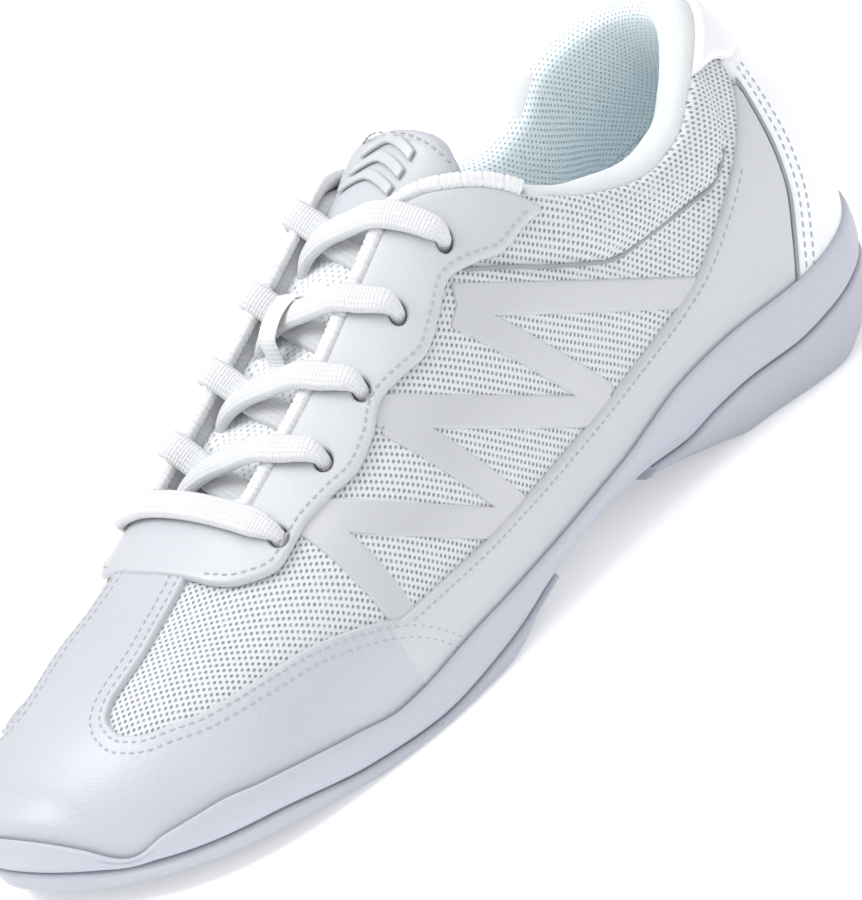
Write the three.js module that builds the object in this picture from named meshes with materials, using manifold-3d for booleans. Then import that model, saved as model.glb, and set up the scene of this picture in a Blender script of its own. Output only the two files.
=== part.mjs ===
// Low-top lace-up cheer shoe, left foot, standing flat. Millimetres, +Z up.
// Toe points to -X, heel to +X, lateral side to -Y, medial side to +Y.
// The upper is one smooth skin, given by a station x along the foot and a wrap t across it:
// t is -1 at the lateral feather edge (where upper meets sole), 0 on the ridge, +1 at the medial edge.
// Every layer of the upper is that skin moved in or out, then trimmed by cutter solids.
import * as THREE from 'three';
import { mergeVertices } from 'three/addons/utils/BufferGeometryUtils.js';
import Module from 'manifold-3d';

const wasm = await Module();
wasm.setup();

// ---------------------------------------------------------------- driving dimensions
const TOE_X = -123;              // front of the upper
const HEEL_X = 132;              // back of the upper at its widest
const MIDDLE_X = (TOE_X + HEEL_X) / 2;
const HALF_LENGTH = (HEEL_X - TOE_X) / 2;
const TOE_ROUNDING_X = -78;      // the toe starts to close in front of this
const HEEL_ROUNDING_X = 92;      // the heel starts to close behind this
const TOE_POWER = 2.25;          // superellipse powers of the two ends, seen from above
const HEEL_POWER = 2.35;

// layers of the upper, as [inner, outer] distances from its skin
const LEATHER = [0.4, 1.5];
const FILM = [0.4, 0.8];
const MESH = [-1.0, 0.0];
const STIFFENER = [-2.3, -1.3];
const FACING = [-3.3, -1.4];     // reinforcement under the eyestay
const LINING = [-3.5, -2.7];
const COLLAR_FOAM = [-7.6, -1.4];
const COLLAR_LINING = [-8.8, -8.0];
const TONGUE = [-9.2, -6.3];
const TONGUE_PAD = [-10.0, -4.2];
const GAP = 0.35;                // left between pieces that touch
const VAMP_SEAM_X = -47.5;       // where the vamp's mesh meets the two quarters
const BACK_SEAM = 0.9;           // half the gap between the two quarters at the back of the heel

const EYELET_RADIUS = 2.4;
const EYELET_STATIONS = [-48, -29, -12, 6, 25];
const EYELET_WRAPS = [0.38, 0.38, 0.38, 0.38, 0.42];
const LACE_WIDTH = 5.6;
const LACE_THICKNESS = 2.0;
const AGLET_LENGTH = 20;
const TONGUE_SPLIT_X = 25;       // the tongue's free top starts behind this station
const FLOOR_LIFT = 7.6;          // from the tread plane to the midsole's bed under the forefoot

const mixed = (a, b, s) => a + (b - a) * s;
const clamp = (v, low, high) => Math.min(high, Math.max(low, v));

// smooth curve through [x, y] knots that never overshoots them
function through(knots) {
  const step = knots.slice(1).map((k, i) => k[0] - knots[i][0]);
  const rise = knots.slice(1).map((k, i) => (k[1] - knots[i][1]) / step[i]);
  const slope = knots.map((k, i) => {
    if (i === 0) return rise[0];
    if (i === knots.length - 1) return rise[i - 1];
    if (rise[i - 1] * rise[i] <= 0) return 0;
    const before = 2 * step[i] + step[i - 1];
    const after = step[i] + 2 * step[i - 1];
    return (before + after) / (before / rise[i - 1] + after / rise[i]);
  });
  return (x) => {
    const at = clamp(x, knots[0][0], knots[knots.length - 1][0]);
    let i = 0;
    while (i < step.length - 1 && at > knots[i + 1][0]) i += 1;
    const s = (at - knots[i][0]) / step[i];
    const r = 1 - s;
    return (1 + 2 * s) * r * r * knots[i][1] + s * r * r * step[i] * slope[i]
      + s * s * (3 - 2 * s) * knots[i + 1][1] - s * s * r * step[i] * slope[i + 1];
  };
}

// ---------------------------------------------------------------- the skin of the upper
const lateralWidth = through([[-123, 46], [-100, 48], [-75, 50], [-48, 51], [-20, 48], [5, 43.5],
  [30, 39], [60, 34], [85, 32.5], [132, 32]]);
const medialWidth = through([[-123, 29], [-100, 30], [-75, 33], [-48, 35], [-20, 33], [5, 30],
  [30, 28], [60, 29], [85, 30], [132, 30]]);
const ridgeY = through([[-123, 8], [-100, 6], [-48, 6], [20, 5], [60, 2], [132, 0]]);
const featherZ = through([[-123, 23], [-116, 16], [-100, 16.5], [-90, 15.2], [-60, 14], [-20, 17],
  [20, 21], [60, 26], [100, 28], [120, 30.5], [132, 34]]);
const ridgeZ = through([[-123, 40], [-100, 44], [-75, 50], [-48, 61], [-20, 74], [5, 87], [30, 101],
  [60, 117], [90, 122], [132, 120]]);
const heelLean = through([[27, 0], [40, 2.5], [55, 1.5], [70, -3], [85, -8], [95, -12], [105, -15],
  [150, -20]]);
const TUCK = 0.1;
const bedZ = through([[-123, 14], [-112, 13], [-100, 12.4], [-80, 11], [-50, 10], [-15, 12], [20, 16],
  [50, 17.5], [132, 18.5]]);
const sidePower = through([[-123, 2.5], [-75, 2.35], [-48, 2.3], [5, 2.6], [60, 2.6], [90, 2.4],
  [132, 2.3]]);
const topPower = through([[-123, 2.2], [-75, 2.2], [-48, 2.25], [5, 2.5], [60, 2.6], [90, 2.3],
  [132, 2.1]]);

const stationAt = (angle) => MIDDLE_X - HALF_LENGTH * Math.cos(angle);
const angleAt = (x) => Math.acos(clamp((MIDDLE_X - x) / HALF_LENGTH, -1, 1));

function closing(x, power, heelToo) {
  const toe = clamp((TOE_ROUNDING_X - x) / (TOE_ROUNDING_X - TOE_X), 0, 1);
  const heel = heelToo ? clamp((x - HEEL_ROUNDING_X) / (HEEL_X - HEEL_ROUNDING_X), 0, 1) : 0;
  return (1 - toe ** power) ** (1 / power) * (1 - heel ** HEEL_POWER) ** (1 / HEEL_POWER);
}

// a point of the skin; past the feather edge it drops straight down into the sole, and reaches
// the sole's bed where |t| is 1 + TUCK
function skin(x, t) {
  const side = t < 0 ? -1 : 1;
  const phi = clamp(1 - Math.abs(t), 0, 1) * Math.PI / 2;
  const width = (side < 0 ? lateralWidth(x) : medialWidth(x)) * closing(x, TOE_POWER, true);
  const height = (ridgeZ(x) - featherZ(x)) * closing(x, TOE_POWER, false);
  const y = ridgeY(x) + side * width * Math.cos(phi) ** (2 / sidePower(x));
  const tuck = clamp((Math.abs(t) - 1) / TUCK, 0, 1) * (featherZ(x) - bedZ(x) - 1);
  const z = featherZ(x) + height * Math.sin(phi) ** (2 / topPower(x)) - tuck;
  const heelShare = THREE.MathUtils.smoothstep(x, 30, HEEL_X);
  return new THREE.Vector3(x + heelLean(z) * heelShare, y, z);
}

// outward direction of the skin
function outward(x, t) {
  const angle = clamp(angleAt(x), 0.04, Math.PI - 0.04);
  if (x <= TOE_X + 0.01) return new THREE.Vector3(-1, 0, 0);
  const wrap = clamp(t, -0.985, 0.985);
  const along = skin(stationAt(angle + 0.01), wrap).sub(skin(stationAt(angle - 0.01), wrap));
  const across = skin(stationAt(angle), wrap + 0.01).sub(skin(stationAt(angle), wrap - 0.01));
  if (Math.abs(t) > 0.985) across.set(0, 0, -Math.sign(t));
  if (x >= HEEL_X - 0.01) along.set(0, -Math.sign(t || 1), 0);
  return along.cross(across).normalize();
}

const lifted = (x, t, depth) => skin(x, t).addScaledVector(outward(x, t), depth);

// wrap value at which the skin reaches height z, on the side given by its sign
function wrapAt(x, z, side) {
  const height = (ridgeZ(x) - featherZ(x)) * closing(x, TOE_POWER, false);
  const share = clamp((z - featherZ(x)) / height, 0, 1) ** (topPower(x) / 2);
  return side * (1 - Math.asin(share) / (Math.PI / 2));
}

// ---------------------------------------------------------------- outlines of the panels
// throat edge: wrap of the lace opening's edge, and height of the collar's top line behind it
const throatWrap = through([[-51, 0.02], [-49, 0.16], [-45, 0.24], [-19, 0.235], [5, 0.22], [22, 0.22],
  [28, 0.27], [34, 0.36], [42, 0.49], [48, 0.6]]);
const lateralTop = through([[36, 93], [44, 88.5], [52, 82.5], [60, 78], [78, 73], [88, 75], [97, 81],
  [108, 88], [118, 92], [132, 93]]);
const medialTop = through([[36, 93.5], [44, 89.5], [52, 84], [60, 80], [76, 75], [87, 78], [96, 86],
  [108, 90], [118, 92], [132, 93]]);
// side band: height of its upper edge, and the seam where the heel piece starts
const bandTop = through([[-45, 30], [-10, 31], [20, 33.5], [50, 38.5], [75, 45], [90, 54], [101, 63],
  [109, 71], [116, 80]]);
const HEEL_SEAM = [[99, 24], [105, 38], [110.5, 50], [112.5, 62], [110, 73], [103, 86]];
const EYESTAY_FRONT = -65;
const EYESTAY_BACK = 50;
const eyestayWrap = through([[-65, 0.03], [-64, 0.24], [-60, 0.36], [-52, 0.44], [-43, 0.43],
  [-34, 0.455], [-25, 0.49], [-18, 0.48], [-11, 0.45], [-4, 0.475], [5, 0.515], [12, 0.5],
  [19, 0.48], [27, 0.53], [34, 0.585], [43, 0.61], [50, 0.64]]);
// mesh window in the vamp: its two long edges as wraps
const WINDOW_FRONT = -102;
const WINDOW_BACK = -27;
const windowTop = through([[-102, 0.33], [-100, 0.25], [-94, 0.21], [-75, 0.175], [-62, 0.16]]);
const windowLow = through([[-102, 0.35], [-99, 0.44], [-90, 0.54], [-77, 0.6], [-65, 0.65],
  [-53, 0.73], [-40, 0.84], [-27, 0.99]]);
// welded film: centre lines of its stripes in side view, [x, z] to [x, z], front to back
const FILM_WIDTH = 7.5;
const FILM_STRIPES = [
  [[-41, 54], [-39.5, 28]], [[-42, 57], [-2, 30]], [[-13, 63], [3, 30]],
  [[-14, 66], [40, 33]], [[16, 73], [40, 36]], [[18, 75], [75, 42.5]],
];

// ---------------------------------------------------------------- solids
function asSolid(geometry) {
  geometry.deleteAttribute('normal');
  geometry.deleteAttribute('uv');
  const merged = mergeVertices(geometry, 1e-4);
  const index = merged.index.array;
  const kept = [];
  for (let i = 0; i < index.length; i += 3) {
    const [a, b, c] = [index[i], index[i + 1], index[i + 2]];
    if (a !== b && b !== c && c !== a) kept.push(a, b, c);
  }
  const mesh = new wasm.Mesh({
    numProp: 3,
    vertProperties: new Float32Array(merged.attributes.position.array),
    triVerts: new Uint32Array(kept),
  });
  return new wasm.Manifold(mesh);
}

function asGeometry(solid) {
  const { vertProperties, triVerts, numProp } = solid.getMesh();
  const position = new Float32Array((vertProperties.length / numProp) * 3);
  for (let i = 0; i < position.length / 3; i += 1) {
    for (let k = 0; k < 3; k += 1) position[i * 3 + k] = vertProperties[i * numProp + k];
  }
  const geometry = new THREE.BufferGeometry();
  geometry.setAttribute('position', new THREE.BufferAttribute(position, 3));
  geometry.setIndex(Array.from(triVerts));
  geometry.computeVertexNormals();
  return geometry;
}

function signedVolume(points, faces) {
  const cross = new THREE.Vector3();
  return faces.reduce((sum, [a, b, c]) =>
    sum + points[a].dot(cross.crossVectors(points[b], points[c])) / 6, 0);
}

// closed solid from rings of points, each ring a closed outline; an end that shrinks to a line
// or a point needs no cap
function loft(rings, startCap, endCap) {
  const points = rings.flat();
  const count = rings[0].length;
  const faces = [];
  for (let r = 0; r < rings.length - 1; r += 1) {
    for (let i = 0; i < count; i += 1) {
      const next = (i + 1) % count;
      const a = r * count + i;
      const b = r * count + next;
      faces.push([a, b, a + count], [b, b + count, a + count]);
    }
  }
  const last = (rings.length - 1) * count;
  startCap.forEach(([a, b, c]) => faces.push([a, c, b]));
  endCap.forEach(([a, b, c]) => faces.push([a + last, b + last, c + last]));
  const turned = signedVolume(points, faces) < 0;
  const position = [];
  faces.forEach(([a, b, c]) => {
    (turned ? [a, c, b] : [a, b, c]).forEach((i) => position.push(...points[i].toArray()));
  });
  const geometry = new THREE.BufferGeometry();
  geometry.setAttribute('position', new THREE.Float32BufferAttribute(position, 3));
  return asSolid(geometry);
}

// cap of a ring made of a row of points out and the same row back
function stripCap(count) {
  const cap = [];
  for (let i = 0; i < count - 1; i += 1) {
    const back = 2 * count - 1 - i;
    cap.push([i, i + 1, back], [i + 1, back - 1, back]);
  }
  return cap;
}

// fan cap of a ring that is a convex outline
const fanCap = (count) => Array.from({ length: count - 2 }, (_, i) => [0, i + 1, i + 2]);

const spread = (from, to, count) =>
  Array.from({ length: count }, (_, i) => mixed(from, to, i / (count - 1)));

// slab between two depths, over stations from..to and between the wraps low(x) and high(x)
function slab(stations, low, high, columns, [inner, outer]) {
  const rings = stations.map((x) => {
    const wraps = spread(low(x), high(x), columns);
    return [...wraps.map((t) => lifted(x, t, outer)),
      ...wraps.reverse().map((t) => lifted(x, t, inner))];
  });
  return loft(rings, stripCap(columns), stripCap(columns));
}

// one layer over the whole foot; all layers share these grid lines, so they nest without touching
const STATIONS = spread(0, Math.PI, 25).map(stationAt);
const WRAPS = spread(-1, 1, 17);
function layer(depths, tucked = false) {
  const wraps = tucked ? [-1 - TUCK, ...WRAPS, 1 + TUCK] : WRAPS;
  const rings = STATIONS.map((x) => [...wraps.map((t) => lifted(x, t, depths[1])),
    ...[...wraps].reverse().map((t) => lifted(x, t, depths[0]))]);
  return loft(rings, [], []);
}

const CUT = [-16, 8];            // depth range of a cutter, past every layer
function trim(from, to, low, high, grow = 0) {
  const stations = spread(from - grow, to + grow, Math.ceil((to - from) / 8) + 2);
  const wrapGrow = grow / 60;
  return slab(stations, (x) => low(x) - wrapGrow, (x) => high(x) + wrapGrow, 6, CUT);
}

// prism with an outline in side view, [x, z], from y = left to y = right
function sidePrism(outline, left, right) {
  const shape = new THREE.Shape(outline.map(([x, z]) => new THREE.Vector2(x, z)));
  const geometry = new THREE.ExtrudeGeometry(shape, { depth: right - left, bevelEnabled: false });
  geometry.rotateX(Math.PI / 2).translate(0, right, 0);
  return asSolid(geometry);
}

const SIDE = 80;                 // further out than any part of the shoe
const both = (outline) => sidePrism(outline, -SIDE, SIDE);
const lateralOnly = (outline) => sidePrism(outline, -SIDE, 2);
const medialOnly = (outline) => sidePrism(outline, 2, SIDE);
const sampled = (line, from, to, step) => {
  const count = Math.max(2, Math.round((to - from) / step) + 1);
  return spread(from, to, count).map((x) => [x, line(x)]);
};

// everything above the collar's top line, lowered by drop
function aboveCollar(drop) {
  const over = (line) => [...sampled(line, 36, 132, 8).map(([x, z]) => [x, z - drop]),
    [150, line(132) - drop], [150, 170], [36, 170]];
  return lateralOnly(over(lateralTop)).add(medialOnly(over(medialTop)));
}

// the lace opening, between the throat edges, grown by a margin
const throat = (grow) => trim(-51, 48, (x) => -throatWrap(x), throatWrap, grow);
const opening = (drop) => throat(drop).add(aboveCollar(drop));

// everything below the upper edge of the side band, in front of the heel seam
function belowBand(grow) {
  return both([[-60, 0], ...sampled(bandTop, -45, 116, 10).map(([x, z]) => [x, z + grow]), [116, 0]]);
}
const behindSeam = (grow) => both([...HEEL_SEAM.map(([x, z]) => [x - grow, z]), [96, 130], [160, 130],
  [160, 0], [90, 0]]);
const inFront = (x) => both([[-160, 0], [x, 0], [x, 160], [-160, 160]]);
const lowerThan = (z) => both([[-160, -20], [160, -20], [160, z], [-160, z]]);

const windowCut = (side, grow) => trim(WINDOW_FRONT, WINDOW_BACK,
  (x) => (side < 0 ? -windowLow(x) : windowTop(x)),
  (x) => (side < 0 ? -windowTop(x) : windowLow(x)), grow);
const eyestayRegion = (grow) => trim(EYESTAY_FRONT, EYESTAY_BACK, (x) => -eyestayWrap(x),
  eyestayWrap, grow);

function eyeletCutters() {
  const cutters = EYELET_STATIONS.flatMap((x, i) => [-1, 1].map((side) => {
    const t = side * EYELET_WRAPS[i];
    const geometry = new THREE.CylinderGeometry(EYELET_RADIUS, EYELET_RADIUS, 14, 8);
    const turn = new THREE.Quaternion().setFromUnitVectors(new THREE.Vector3(0, 1, 0), outward(x, t));
    geometry.applyQuaternion(turn).translate(...skin(x, t).toArray());
    return asSolid(geometry);
  }));
  return cutters.reduce((all, one) => all.add(one));
}

const skinLayers = {
  leather: layer(LEATHER),
  film: layer(FILM),
  mesh: layer(MESH, true),
  stiffener: layer(STIFFENER),
  facing: layer(FACING),
  lining: layer(LINING, true),
  foam: layer(COLLAR_FOAM),
  collarLining: layer(COLLAR_LINING),
};
const eyelets = eyeletCutters();

const shoe = new THREE.Group();
function add(name, solid, color, roughness) {
  const whole = solid.decompose().sort((a, b) => b.volume() - a.volume())[0];
  const material = new THREE.MeshStandardMaterial({ color, roughness, metalness: 0 });
  const mesh = new THREE.Mesh(asGeometry(whole), material);
  mesh.name = name;
  shoe.add(mesh);
}

const WHITE_LEATHER = 0xe4e8ec;
const WHITE_TEXTILE = 0xe9ecee;
const FILM_GREY = 0xd3d6d9;
const SOLE_RUBBER = 0xc9d2dd;
const LINING_BLUE = 0xd3e2ea;
const HIDDEN_BOARD = 0xcbb894;
const FOAM_WHITE = 0xf0eee6;
const AGLET_CLEAR = 0xdde3e8;

// ---------------------------------------------------------------- upper: leather overlays
// the toe cap's wings run back along the feather edge, under the mesh windows
const wing = (side, grow) => trim(-62, WINDOW_BACK, (x) => (side < 0 ? -1.2 : windowLow(x)),
  (x) => (side < 0 ? -windowLow(x) : 1.2), grow);

function makeToeCap() {
  const region = inFront(-60).add(wing(-1, 0)).add(wing(1, 0));
  return skinLayers.leather.intersect(region).subtract(windowCut(-1, 0)).subtract(windowCut(1, 0))
    .subtract(eyestayRegion(0.8));
}

function makeEyestay() {
  return skinLayers.leather.intersect(eyestayRegion(0)).subtract(opening(0)).subtract(eyelets);
}

function makeBand(side) {
  const half = side < 0 ? lateralOnly : medialOnly;
  const toeArea = wing(side, 1).add(inFront(-44));
  return skinLayers.leather.intersect(belowBand(0)).intersect(half([[-60, 0], [116, 0], [116, 130],
    [-60, 130]])).subtract(toeArea).subtract(behindSeam(0.6));
}

function makeHeelPiece() {
  return skinLayers.leather.intersect(behindSeam(-0.2)).intersect(lowerThan(79.6));
}

function makeHeelTab() {
  return skinLayers.leather.intersect(behindSeam(-0.2)).subtract(lowerThan(80)).subtract(opening(1.5));
}

function makeFilm(side) {
  const stripes = FILM_STRIPES.map(([[x0, z0], [x1, z1]]) => {
    const across = new THREE.Vector2(-(z1 - z0), x1 - x0).setLength(FILM_WIDTH / 2);
    return both([[x0 + across.x, z0 + across.y], [x0 - across.x, z0 - across.y],
      [x1 - across.x, z1 - across.y], [x1 + across.x, z1 + across.y]]);
  }).reduce((all, one) => all.add(one));
  const half = side < 0 ? lateralOnly : medialOnly;
  const area = half([[-60, 20], [100, 20], [100, 110], [-60, 110]]);
  return skinLayers.film.intersect(stripes).intersect(area).subtract(eyestayRegion(0.6))
    .subtract(belowBand(0.5)).subtract(wing(side, 0.6)).subtract(inFront(-62));
}

// ---------------------------------------------------------------- upper: textile and hidden layers
function makeVampMesh() {
  return skinLayers.mesh.intersect(inFront(VAMP_SEAM_X - 0.2)).subtract(inFront(-106)).subtract(throat(0))
    .subtract(eyelets);
}

function makeQuarterMesh(side) {
  const front = VAMP_SEAM_X + 0.2;
  const outline = [[front, 0], [160, 0], [160, 160], [front, 160]];
  const area = side < 0 ? sidePrism(outline, -SIDE, -BACK_SEAM) : sidePrism(outline, BACK_SEAM, SIDE);
  return skinLayers.mesh.intersect(area).subtract(opening(0)).subtract(eyelets);
}

const facingRegion = (grow) => trim(-57, 42, () => -0.46, () => 0.46, grow);
function makeEyestayFacing() {
  return skinLayers.facing.intersect(facingRegion(0)).subtract(opening(0.6)).subtract(eyelets);
}

function makeToePuff() {
  return skinLayers.stiffener.intersect(inFront(-84));
}

function makeHeelStiffener() {
  return skinLayers.stiffener.intersect(both([[86, 20], [92, 52], [104, 66], [160, 66], [160, 0],
    [86, 0]]));
}

function makeLining() {
  const collarArea = both([[44, 44], [160, 44], [160, 150], [44, 150]]);
  return skinLayers.lining.subtract(opening(1)).subtract(collarArea).subtract(facingRegion(0.6));
}

// padded collar zone: behind x = 44.5 and above its lower seam
const COLLAR_FLOOR = 46;
const collarZone = both([[44.5, COLLAR_FLOOR], [160, COLLAR_FLOOR], [160, 160], [44.5, 160]]);
const stiffenerRoom = both([[84, 0], [90, 53], [103, 68], [160, 68], [160, 0]]);
function makeCollarFoam() {
  const foam = skinLayers.foam.intersect(collarZone).subtract(opening(3.4));
  const nearStiffener = layer([-2.7, 0]).intersect(stiffenerRoom);
  return foam.subtract(nearStiffener);
}

function makeCollarLining() {
  return skinLayers.collarLining.intersect(collarZone).subtract(opening(3.4));
}

// rolled edge on top of the collar, an oval bead from one end of the lace opening to the other
function collarPath(side) {
  const line = side < 0 ? lateralTop : medialTop;
  return spread(angleAt(52), Math.PI, 13).map((angle) => {
    const x = stationAt(angle);
    return { x, t: wrapAt(x, line(x) - 1.4, side) };
  });
}

function makeCollarRoll() {
  const path = [...collarPath(-1), ...collarPath(1).reverse().slice(1)];
  const sides = 8;
  const rings = path.map(({ x, t }) => {
    const out = outward(x, t).setZ(0).normalize();
    const centre = skin(x, t).addScaledVector(out, -4.2);
    return spread(0, 2 * Math.PI, sides + 1).slice(0, sides).map((angle) => centre.clone()
      .addScaledVector(out, 2.6 * Math.cos(angle)).setZ(centre.z + 1.4 * Math.sin(angle)));
  });
  return loft(rings, fanCap(sides), fanCap(sides));
}

// ---------------------------------------------------------------- tongue
function makeTongue() {
  const wide = slab(spread(-56, TONGUE_SPLIT_X - GAP, 11), () => -0.42, () => 0.42, 9, TONGUE);
  return wide;
}

function makeTonguePad() {
  const halfWrap = through([[25, 0.18], [33, 0.19], [37, 0.33], [40, 0.41], [44, 0.4]]);
  return slab(spread(TONGUE_SPLIT_X, 44, 8), (x) => -halfWrap(x), halfWrap, 7, TONGUE_PAD);
}

// three raised chevrons stand in for the printed mark
function makeTongueBadge() {
  const bar = (x) => slab([x, x + 2.2], () => -0.13, () => 0.13, 5, [-3.6, -2.9]);
  const base = slab([27.5, 34.5, 41.5], () => -0.15, () => 0.15, 5, [-3.7, -3.3]);
  return [29, 33.2, 37.4].map(bar).reduce((all, one) => all.add(one), base);
}

// strap that keeps the tongue centred: ends on the tongue, middle arched over the lace
function makeTongueLoop() {
  const rise = through([[-14, -5.9], [-11, -5.4], [-8, 2.8], [0, 2.8], [3, -5.4], [6, -5.9]]);
  const rings = spread(-14, 6, 11).map((x) => {
    const wraps = spread(-0.07, 0.07, 3);
    return [...wraps.map((t) => lifted(x, t, rise(x) + 0.9)),
      ...wraps.reverse().map((t) => lifted(x, t, rise(x)))];
  });
  return loft(rings, stripCap(3), stripCap(3));
}

// ---------------------------------------------------------------- lace
// way points are [station, wrap, depth, width], from one tip to the other
const OVER_FLAP = 3.0;           // centre of the lace on top of the eyestay
const UNDER_FLAP = -5.1;         // and under it
const IN_HOLE = 3.0;             // width where an eyelet gathers it
const WRAP_SCALE = 60;           // millimetres across the foot for one unit of wrap, near enough

function laceHalf(side) {
  const route = [];
  EYELET_STATIONS.forEach((x, i) => {
    const here = side * (i % 2 === 0 ? 1 : -1);
    const wrap = EYELET_WRAPS[i];
    if (i > 0) {
      const before = EYELET_STATIONS[i - 1];
      const middle = side < 0 ? -2.1 : -4.9;
      route.push([mixed(before, x, 0.24), -here * 0.25, UNDER_FLAP, LACE_WIDTH],
        [mixed(before, x, 0.36), -here * 0.13, middle, LACE_WIDTH],
        [mixed(before, x, 0.5), 0, middle, LACE_WIDTH],
        [mixed(before, x, 0.62), here * 0.09, middle + 1.6, LACE_WIDTH],
        [mixed(before, x, 0.76), here * 0.185, OVER_FLAP, LACE_WIDTH],
        [mixed(before, x, 0.86), here * 0.26, OVER_FLAP, LACE_WIDTH],
        [mixed(before, x, 0.98), here * (wrap - 0.045), OVER_FLAP, LACE_WIDTH * 0.85]);
    }
    route.push([x, here * (wrap - 0.01), 2.2, IN_HOLE], [x, here * wrap, -3.9, IN_HOLE]);
    if (i < EYELET_STATIONS.length - 1) {
      route.push([x + 1.2, here * (wrap - 0.04), UNDER_FLAP, LACE_WIDTH * 0.7]);
    }
  });
  return route;
}

// the two ends are tucked away under the tongue, into the toe
function laceTail(side) {
  const tail = [[27.6, 0.42, -6.6], [28.2, 0.41, -10], [24, 0.39, -11.8], [10, 0.34, -12.2],
    [-8, 0.28, -12.2], [-34, 0.24, -12], [-58, 0.22, -11], [-72, 0.2, -10], [-84, 0.2, -9]];
  return tail.map(([x, t, depth]) => [x, side * t, depth, LACE_WIDTH * 0.8]);
}

const FRONT_BAR = [[-48.6, 0.3, OVER_FLAP, LACE_WIDTH], [-49.2, 0.2, OVER_FLAP, LACE_WIDTH],
  [-49.4, 0.1, OVER_FLAP, LACE_WIDTH]];
const laceRoute = [...[...laceHalf(-1), ...laceTail(-1)].reverse(),
  ...FRONT_BAR.map(([x, t, d, w]) => [x, -t, d, w]),
  [-49.4, 0, OVER_FLAP, LACE_WIDTH], ...[...FRONT_BAR].reverse(), ...laceHalf(1), ...laceTail(1)];

function laceSamples() {
  const spot = laceRoute.map(([x, t, depth]) => lifted(x, t, depth));
  const curve = new THREE.CatmullRomCurve3(spot, false, 'centripetal');
  const count = laceRoute.length - 1;
  return spread(0, 1, count + 1).map((share) => {
    const place = share * (laceRoute.length - 1);
    const i = Math.min(laceRoute.length - 2, Math.floor(place));
    const [x, t] = [0, 1].map((k) => mixed(laceRoute[i][k], laceRoute[i + 1][k], place - i));
    return {
      point: curve.getPoint(share),
      tangent: curve.getTangent(share),
      normal: outward(x, t),
      width: mixed(laceRoute[i][3], laceRoute[i + 1][3], place - i),
    };
  });
}

// flat oval section that stays flat on the skin and turns over at the eyelets
function makeLace(samples) {
  const sides = 6;
  const flat = new THREE.Vector3().crossVectors(samples[0].tangent, samples[0].normal).normalize();
  const rings = samples.map(({ point, tangent, normal, width }) => {
    const aim = new THREE.Vector3().crossVectors(tangent, normal);
    const clear = aim.length() > 0.45;
    if (aim.dot(flat) < 0) aim.negate();
    if (clear) flat.lerp(aim.normalize(), 0.7);
    flat.addScaledVector(tangent, -flat.dot(tangent)).normalize();
    const thick = new THREE.Vector3().crossVectors(flat, tangent).normalize();
    return spread(0, 2 * Math.PI, sides + 1).slice(0, sides).map((angle) => point.clone()
      .addScaledVector(flat, width / 2 * Math.cos(angle))
      .addScaledVector(thick, LACE_THICKNESS / 2 * Math.sin(angle)));
  });
  return loft(rings, fanCap(sides), fanCap(sides));
}

function makeAglet(end) {
  const away = end.tangent.clone().multiplyScalar(end.sign);
  const geometry = new THREE.CylinderGeometry(1.5, 1.3, AGLET_LENGTH, 10);
  geometry.applyQuaternion(new THREE.Quaternion().setFromUnitVectors(new THREE.Vector3(0, 1, 0),
    away.clone().negate()));
  const centre = end.point.clone().addScaledVector(away, AGLET_LENGTH / 2 + GAP);
  geometry.translate(...centre.toArray());
  return asSolid(geometry);
}

// ---------------------------------------------------------------- sole
const moldSideZ = through([[-123, 15.5], [-108, 13.5], [-91, 12.7], [-66, 8.6], [-44, 7.2], [-17, 9.6], [6, 12.5],
  [20, 15], [30, 16], [42, 15.2], [56, 14.8], [66, 17.2], [78, 18.4], [92, 18], [104, 19.2],
  [118, 21], [132, 24]]);
const moldMidZ = through([[-123, 11.5], [-100, 10.2], [-75, 8.2], [-55, 7], [-30, 7], [-5, 9], [14, 12.5],
  [30, 13.8], [46, 13], [60, 12.5], [90, 12], [132, 14.5]]);
const groundZ = through([[-123, 12], [-115, 10], [-100, 8.8], [-88, 8.2], [-74, 6.4], [-60, 5], [-22, 5], [-8, 6.8],
  [6, 9.8], [44, 12], [56, 10], [68, 7.2], [78, 5], [106, 5], [115, 7.5], [132, 14]]);
const flare = through([[-123, 1], [-100, 2.2], [-60, 3.2], [-25, 2.4], [5, -4], [30, -8], [50, -6],
  [80, -5], [102, -2], [132, -0.4]]);
const LIP = 3.4;                 // how far the lip's outer face stands out from the skin
const LIP_INSIDE = 1.9;          // and its inner face, clear of the leather
const lipRise = through([[-123, 1.5], [-119, 2.2], [-114.5, 0], [-109, 2.8], [-92, 4.8], [-66, 2.4],
  [-52, 0.4], [-30, 1], [10, 0.2], [32, 0.3], [62, 3], [76, 3.5], [100, 2.4], [132, 0.6]]);
const lipTop = (x) => featherZ(x) + lipRise(x);
const BELLY = 3.2;               // and its bulge below
const SKIRT = 1.4;               // thickness of a tread pad where it wraps up the midsole's side

// how far the sole's side stands out from the feather edge, at height z
function wall(x, z) {
  const share = clamp((z - groundZ(x)) / (featherZ(x) - groundZ(x)), 0, 1);
  return mixed(flare(x), BELLY, Math.sin(share * Math.PI / 2));
}

function around(x, side, offset, z) {
  const out = outward(x, side).setZ(0).normalize();
  return skin(x, side).addScaledVector(out, offset).setZ(z);
}

// ring through the sole at one station, from [offset, z] pairs that run up or down each side
function soleRing(x, downOutside, backInside) {
  const row = (side, pairs) => pairs.map(([offset, z]) => around(x, side, offset, z));
  const across = (from, to) => [0.25, 0.5, 0.75].map((s) => from.clone().lerp(to, s));
  const left = row(-1, downOutside);
  const right = row(1, downOutside).reverse();
  const innerRight = row(1, backInside);
  const innerLeft = row(-1, backInside).reverse();
  return [...left, ...across(left[left.length - 1], right[0]), ...right, ...innerRight,
    ...across(innerRight[innerRight.length - 1], innerLeft[0]), ...innerLeft];
}

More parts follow.
